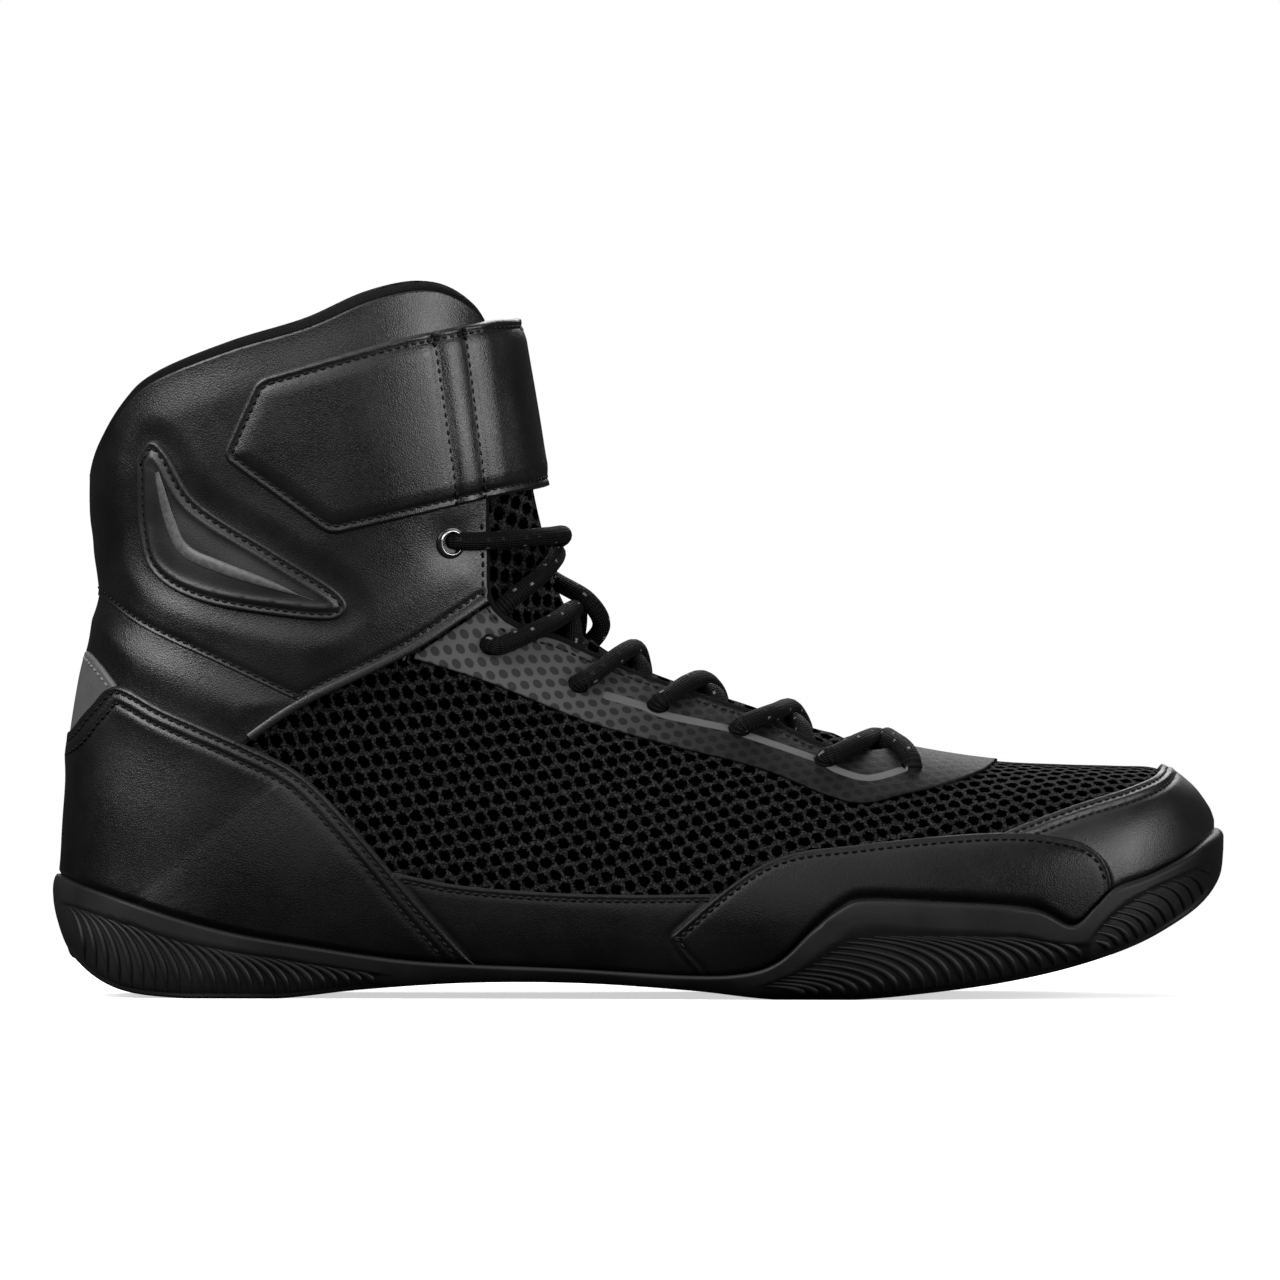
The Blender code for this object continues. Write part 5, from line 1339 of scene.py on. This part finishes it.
# The weave's crests are coloured lighter and its troughs darker: the twill's pattern, with painted shade in
# the troughs.
link(tint(node, ramp(node, weave, -0.8, 0.9), (0.0012, 0.0012, 0.0012), (0.012, 0.012, 0.0122)), "Base Color")
link(bump(node, weave, 0.9, 0.0006), "Normal")
shader.inputs["Specular IOR Level"].default_value = 0.15
COLLAR_TAPE_IN, COLLAR_TAPE_DOWN = 1.75, 2.0
share = np.linspace(0, 1, 90)
collar_path, collar_out = [], []
for side, order in ((LATERAL, share), (MEDIAL, share[::-1][1:])):
    t = collar_row(order, side)
    turn = spread_turn(t, order)
    out = outward(t, turn, side)
    collar_path.append(surface(t, turn, side) - out * COLLAR_TAPE_IN - (0.0, 0.0, COLLAR_TAPE_DOWN))
    collar_out.append(out)
grow("collar_tape", sweep, [(np.concatenate(collar_path), np.concatenate(collar_out), 1.0)], "black_leather",
     half_width=2.2 * MM, half_height=3.2 * MM, sides=20, finish=twill)
grow("throat_tape", sweep, along_throat(7.75, 23.0, away=0.0, height=-0.6), "black_leather",
     half_width=1.1 * MM, half_height=1.9 * MM, sides=14, finish=twill)
strip_leather = leather_finish("strip_leather", (0.002, 0.002, 0.0021), (0.004, 0.004, 0.0042),
                               (0.005, 0.005, 0.0052), gloss=0.4)
grow("diagonal_strip", sweep, seams(beside(stretch(DIAGONAL_LINE, 50.0, 107.4), 0.6), height=1.5),
     "black_leather", half_width=1.05 * MM, half_height=0.5 * MM, sides=14, finish=strip_leather)
sew("diagonal_stitches", seams(strip_row, height=1.5))


# The ankle pads: a moulded pad stitched to each side of the cuff in a trough round its edge,
# with a plain raised rib along its face.
PAD_RIB = cut_line((26.9, 128.7), (29.9, 117.4), (33.8, 109.7), (42.5, 105.5), (53.6, 101.6), (65.4, 97.4))
PAD_THICK, PAD_EDGE, PAD_SEAT, PAD_ROW, PAD_RIM = 1.7, 1.0, 1.7, 1.7, 3.2
PAD_DOME, PAD_RIB_HEIGHT, PAD_RIB_FITS = 0.35, 3.7, 3
moulded = leather_finish("moulded_pad", (0.004, 0.004, 0.0042), (0.006, 0.006, 0.0063),
                         (0.008, 0.008, 0.0084), gloss=0.42, grain=0.06)


def inside_row(outline, away):
    """A line inside a closed outline."""
    row = beside(outline, away)
    return row if within(outline, row[:1, 0], row[:1, 1])[0] else beside(outline, -away)


def pad_relief(points, gaps):
    """A sewn trough, a rounded rim inside it and a slightly domed face."""
    return (swelling(gaps - PAD_ROW, height=-0.6, width=0.8)
            + swelling(gaps - PAD_RIM, height=0.25, width=0.7) + PAD_DOME * step_up(gaps, 3.5, 9.0))


for side, label in SIDES.items():
    pad = panel(f"ankle_pad_{label}_moulding", pad_outline, moulded, [f"ankle_pad_{label}"],
                PAD_THICK, rim=PAD_EDGE, seat=PAD_SEAT, sides=(side,), relief=pad_relief,
                rows=(PAD_ROW, PAD_RIM))
sew("ankle_pad_stitches", seams(inside_row(pad_outline, PAD_ROW), height=2.95))
rib_grey, _, node, link = new_finish("pad_rib_rubber", (0.05, 0.05, 0.051), 0.4)
cloud = noise(node, 700.0, 3.0)
link(tint(node, ramp(node, cloud, 0.3, 0.7), (0.055, 0.055, 0.056), (0.08, 0.08, 0.0815)), "Base Color")
link(ramp(node, cloud, 0.3, 0.7, 0.34, 0.46), "Roughness")
pad_rib_paths = []
for side in SIDES:
    drawn = PAD_RIB
    for _ in range(PAD_RIB_FITS):          # drawn anew until the raised rib shows where it should
        place, out, _ = seam(drawn, side, PAD_RIB_HEIGHT)
        drawn = np.repeat(PAD_RIB[::SEAM_EVERY] - place[:, ::2] + drawn[::SEAM_EVERY], SEAM_EVERY,
                          0)[:len(PAD_RIB)]
    share = np.linspace(0, 1, len(place))
    pad_rib_paths.append((place, out, np.clip(1 - np.abs(2 * share - 0.86) ** 2.4, 0.02, 1) ** 0.8))
grow("ankle_pad_ribs", sweep, pad_rib_paths, "black_leather", half_width=1.6 * MM, half_height=0.6 * MM,
     sides=14, finish=rib_grey)


# The ring eyelets: a black enamelled washer with a bright steel barrel, one set through the cuff on
# each side and rolled over behind it. The lace's two ends go in through them.
enamel, _, node, link = new_finish("black_enamel", (0.008, 0.008, 0.008), 0.25)
peel = noise(node, 600.0, 2.0)
link(ramp(node, peel, 0.3, 0.7, 0.18, 0.3), "Roughness")
link(bump(node, peel, 0.1, 0.0001), "Normal")
steel, shader, node, link = new_finish("bright_steel", (0.6, 0.6, 0.61), 0.22)
link(ramp(node, noise(node, 1200.0, 2.0), 0.3, 0.7, 0.16, 0.3), "Roughness")
shader.inputs["Metallic"].default_value = 1.0
# radius and height of the ring's section, from the outside of the washer over into the barrel
WASHER = ((3.95, -0.5), (4.0, 0.25), (3.85, 0.6), (3.5, 0.82), (3.15, 0.8))
BARREL = ((3.05, 1.05), (2.85, 1.1), (2.7, 0.95), (2.66, 0.5), (2.66, -2.0), (3.0, -2.0))
EYELET_SEGMENTS, EYELET_HEIGHT = 56, 1.55
STEEL_STEPS = (len(WASHER) - 1, len(WASHER))
profile = np.array(WASHER + BARREL)
angle = np.linspace(0, 2 * math.pi, EYELET_SEGMENTS, endpoint=False)[:, None]
steps = len(profile)
index, step = np.meshgrid(np.arange(EYELET_SEGMENTS), np.arange(steps), indexing="ij")
onward, after = (index + 1) % EYELET_SEGMENTS, (step + 1) % steps
faces = np.stack((index * steps + step, onward * steps + step, onward * steps + after,
                  index * steps + after), -1).reshape(-1, 4)
for side, label in SIDES.items():
    (middle,), t, turn = on_last(np.array((EYELET_PLACE,)), side)
    axis = outward(t, turn, side)[0]
    over = unit(np.cross(axis, (1.0, 0.0, 0.0)))
    ring = np.cos(angle) * np.cross(over, axis) + np.sin(angle) * over
    rings = (middle + axis * EYELET_HEIGHT + ring[:, None] * profile[None, :, :1]
             + axis * profile[None, :, 1:])
    make_piece(f"eyelet_{label}_ring", rings.reshape(-1, 3), faces, [enamel, steel],
               [f"eyelet_{label}"], face_finish=np.isin(step.ravel(), STEEL_STEPS))


# The strap: a padded leather strap fixed on the medial side, drawn round the front of the shaft and
# closed with hook and loop on the lateral side; stitched round its edge and across in two rows.
STRAP_CORNER, STRAP_ROW, STRAP_PADDING = 3.0, 2.1, 0.5
STRAP_THICK, STRAP_EDGE, STRAP_SEAT, STRAP_REACH = 1.9, 1.0, 2.1, 1.6


def rounded(*corners):
    """A closed outline with its corners rounded."""
    corners, line = np.array(corners, float), []
    share = np.linspace(0, 1, 9)[:, None]
    for before, corner, after in zip(np.roll(corners, 1, 0), corners, np.roll(corners, -1, 0)):
        into, out_of = (corner + (end - corner) * min(STRAP_CORNER / np.linalg.norm(end - corner), 0.45)
                        for end in (before, after))
        line += list(curved(into, corner, out_of, share))
    line = np.array(line + line[:1])
    return places_at(line, np.arange(0, run_along(line)[-1], CUT_SPACING))


strap_outline = {
    LATERAL: rounded((51.8, 151.6), (43.4, 132.4), (69.0, 113.2), (105.6, 122.4), (140.0, 129.4),
                     (140.0, 168.0), (107.4, 166.2), (85.1, 161.4)),
    MEDIAL: rounded((58.0, 109.8), (54.0, 152.2), (85.1, 161.4), (107.4, 166.2), (140.0, 168.0),
                    (140.0, 129.4), (105.6, 122.4)),
}
PUFFS = [cut_line((96.3, 162.8), (101.9, 121.8)), cut_line((103.8, 164.4), (109.0, 123.4))]
CROSS_SEAMS = [cut_line((92.8, 162.0), (98.7, 121.0)), cut_line((99.7, 163.6), (105.1, 122.6))]
# The strap's much lighter edge colour is a painted highlight along its cut edge as well as the raw edge.
strap_leather = leather_finish("strap_leather", (0.002, 0.002, 0.0021), (0.0038, 0.0038, 0.004),
                               (0.03, 0.03, 0.031), grain=0.17)


def strap_relief(points, gaps):
    """Padding that swells between the rows of stitches."""
    return (STRAP_PADDING * step_up(gaps, 2.0, 6.0) - swelling(gaps - STRAP_ROW, height=0.35, width=0.8)
            + trough(points, CROSS_SEAMS, depth=0.6, width=1.3)
            - trough(points, PUFFS, depth=0.25, width=2.4))


strap = panel("strap_padded", strap_outline, strap_leather, ["strap"], STRAP_THICK,
              rim=STRAP_EDGE, seat=STRAP_SEAT, reach=STRAP_REACH, relief=strap_relief, rows=(STRAP_ROW,))
sew("strap_stitches",
    [seam(inside_row(outline, STRAP_ROW), side, height=3.8) for side, outline in strap_outline.items()]
    + [path for row in CROSS_SEAMS for path in seams(row, height=3.9)], slot="strap_leather")


# The lace: one round braided cord from ring to ring, crossing over the tongue, diving under the far
# edge of the throat and coming out of the next hole; its ends stop just inside the rings.
LACE_RADIUS, LACE_SIDES = 2.25, 16
PLAITS_AROUND, PLAITS_ALONG = 12.0, 620.0  # strands of the braid round the lace and for each metre of it
FLECKS_AROUND, FLECKS_ALONG = 2.0, 90.0
FLECK_SHIFTS = ((0.0, 0.0), (0.22, 0.37))
braid, shader, node, link = new_finish("lace_braid", (0.012, 0.012, 0.012), 0.7)
spot = node("ShaderNodeSeparateXYZ", node("ShaderNodeUVMap", uv_map="UVMap").outputs[0]).outputs
around = maths(node, "MULTIPLY", spot[0], PLAITS_AROUND)
along = maths(node, "MULTIPLY", spot[1], PLAITS_ALONG)
plait_light_and_shade = maths(node, "MULTIPLY", *[
    maths(node, "SINE", maths(node, "MULTIPLY", maths(node, slanted, around, along), math.tau))
    for slanted in ("ADD", "SUBTRACT")])
flecks = []
for shifts in FLECK_SHIFTS:
    tracer = []
    for source, many, wide, shift in zip(spot, (FLECKS_AROUND, FLECKS_ALONG), (0.06, 0.05), shifts):
        spaced = maths(node, "FRACT", maths(node, "MULTIPLY_ADD", source, many, shift))
        off = maths(node, "ABSOLUTE", maths(node, "SUBTRACT", spaced, 0.5))
        tracer.append(ramp(node, off, wide * 0.6, wide, 1.0, 0.0))
    flecks.append(maths(node, "MULTIPLY", *tracer))
# Painted highlight and shade: the braid's ridges are coloured lighter and its grooves darker, as well as
# bumped by the same plait.
ground = tint(node, ramp(node, plait_light_and_shade, -0.6, 0.7), (0.0004, 0.0004, 0.0004), (0.0065, 0.0065, 0.0066))
link(tint(node, maths(node, "MAXIMUM", *flecks), ground, (0.2, 0.2, 0.202)), "Base Color")
link(bump(node, plait_light_and_shade, 0.9, 0.0006), "Normal")
shader.inputs["Specular IOR Level"].default_value = 0.12
hole_t, hole_turn = find(*np.array((EYELET_PLACE,) + LACE_HOLES).T)


def lace_point(t, turn, side, height):
    """A point over the last by row, turn, side and height."""
    t, turn = np.array([t]), np.array([turn])
    return (surface(t, turn, side) + outward(t, np.maximum(turn, NEAR_RIDGE), side) * height)[0]


def edge_at(t):
    """The turn of the throat's edge at a row."""
    return float(throat_turn(last_rows(np.array([t])))[0])


def drawn_point(x, z, height, side):
    """A point over the last where a place of the side view lies."""
    (t,), (turn,) = find(np.array([x]), np.array([z]))
    return lace_point(t, turn, side, height)


# The runs from the rings: places on the side view and heights, before and after the shaft's front
LEVEL_OVER = ((103.6, 112.0, 2.6), (112.0, 112.4, 3.2), (119.0, 112.6, 3.9))
LEVEL_UNDER = ((103.6, 111.4, 2.4), (112.0, 110.2, 2.0), (119.0, 108.6, 1.6))
SLACK_DOWN = ((117.6, 108.0, 2.7), (120.6, 102.6, 2.9), (128.6, 95.0, 4.4), (133.4, 88.4, 3.2),
              (129.0, 85.4, -1.6), (117.0, 86.2, -4.9))
TIGHT_DOWN = ((119.2, 103.0, 2.0), (112.8, 97.2, 0.4), (109.6, 93.4, -3.2), (108.6, 89.6, -4.9))
RING_CROSS_OVER, RING_CROSS_UNDER = 16.6, 15.6
# How high the upper strand of each crossing lies over the ridge, and how far the other lies under it
CROSS_LIFT, CROSS_DROP = (4.3, 0.8, 2.8, 1.6, 1.8, 1.1), 2.6
HOLE_DEPTH, UNDER_WALL = -2.6, -4.9        # heights of the lace in a hole and under the upper's wall
# The bar at the toe end: rows back, share of the hole's turn, which side of the ridge, and height
TOE_BAR = ((0.1, 0.75, 1, 2.6), (0.24, 0.4, 1, 2.0), (0.3, 0.0, 1, 1.7), (0.24, 0.4, -1, 2.0),
           (0.1, 0.75, -1, 2.6))


def ring_strand(side, over, lift):
    """Points of the lace from a ring, level to the front of the shaft and over it to the first hole."""
    level, down, cross = ((LEVEL_OVER, SLACK_DOWN, RING_CROSS_OVER) if over
                          else (LEVEL_UNDER, TIGHT_DOWN, RING_CROSS_UNDER))
    ring_t, ring_turn = hole_t[0], hole_turn[0]
    return ([lace_point(ring_t, ring_turn, side, -3.0), lace_point(ring_t, ring_turn * 0.98, side, 1.0)]
            + [drawn_point(*place, side) for place in level] + [lace_point(cross, 0.0, side, lift)]
            + [drawn_point(*place, -side) for place in down])


def strand(index, side, over):
    """Points of the lace from one hole across to the next one on the far side."""
    lift = CROSS_LIFT[index] - (0.0 if over else CROSS_DROP)
    if index == 0:
        return ring_strand(side, over, lift)
    (t0, t1), (out_turn, in_turn) = hole_t[index:index + 2], hole_turn[index:index + 2]
    out, lip, middle, far, dive, home = t0 + (t1 - t0) * np.array((0.12, 0.4, 0.6, 0.76, 0.87, 0.96))
    return [
        lace_point(t0, out_turn, side, HOLE_DEPTH),
        lace_point(t0, out_turn, side, 1.5),
        lace_point(out, out_turn * 0.8 + edge_at(out) * 0.2, side, 2.6),
        lace_point(lip, edge_at(lip) * 0.9, side, 2.0 + 0.3 * lift),
        lace_point(middle, 0.0, side, lift),
        lace_point(far, edge_at(far) * 0.72, -side, 0.5 + 0.4 * lift),
        lace_point(dive, edge_at(dive) + 0.03, -side, HOLE_DEPTH),
        lace_point(home, in_turn * 0.7 + edge_at(home) * 0.3, -side, UNDER_WALL),
    ]


def half_lace(side, over):
    """Points of the lace from one ring down to the last hole, each strand over or under in turn."""
    points = []
    for index in range(len(LACE_HOLES)):
        points += strand(index, side, over)
        side, over = -side, not over
    return points


# Six crossings bring the lace back to the side of the ring it came from, for the bar at the toe end
last_t, last_turn = hole_t[-1], hole_turn[-1]
lace_points = half_lace(LATERAL, True)
lace_points += [lace_point(last_t, last_turn, LATERAL, height) for height in (HOLE_DEPTH, 1.6)]
lace_points += [lace_point(last_t + back, last_turn * share, LATERAL * across, height)
                for back, share, across, height in TOE_BAR]
lace_points += [lace_point(last_t, last_turn, MEDIAL, height) for height in (1.6, HOLE_DEPTH)]
lace_points += half_lace(MEDIAL, False)[::-1]
lace_line = smooth_line(lace_points, 0.5)
heading = unit(np.gradient(lace_line, axis=0))
carried = [np.cross(heading[0], (0.0, 0.0, 1.0))]
for direction in heading[1:]:
    carried.append(unit(carried[-1] - direction * (carried[-1] @ direction)))
lace = grow("lace_cord", sweep, [(lace_line, np.array(carried), 1.0)], "lace_braid",
            half_width=LACE_RADIUS * MM, half_height=LACE_RADIUS * MM, sides=LACE_SIDES, finish=braid)
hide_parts(*[f"lace_{number}" for number in range(1, 7)])
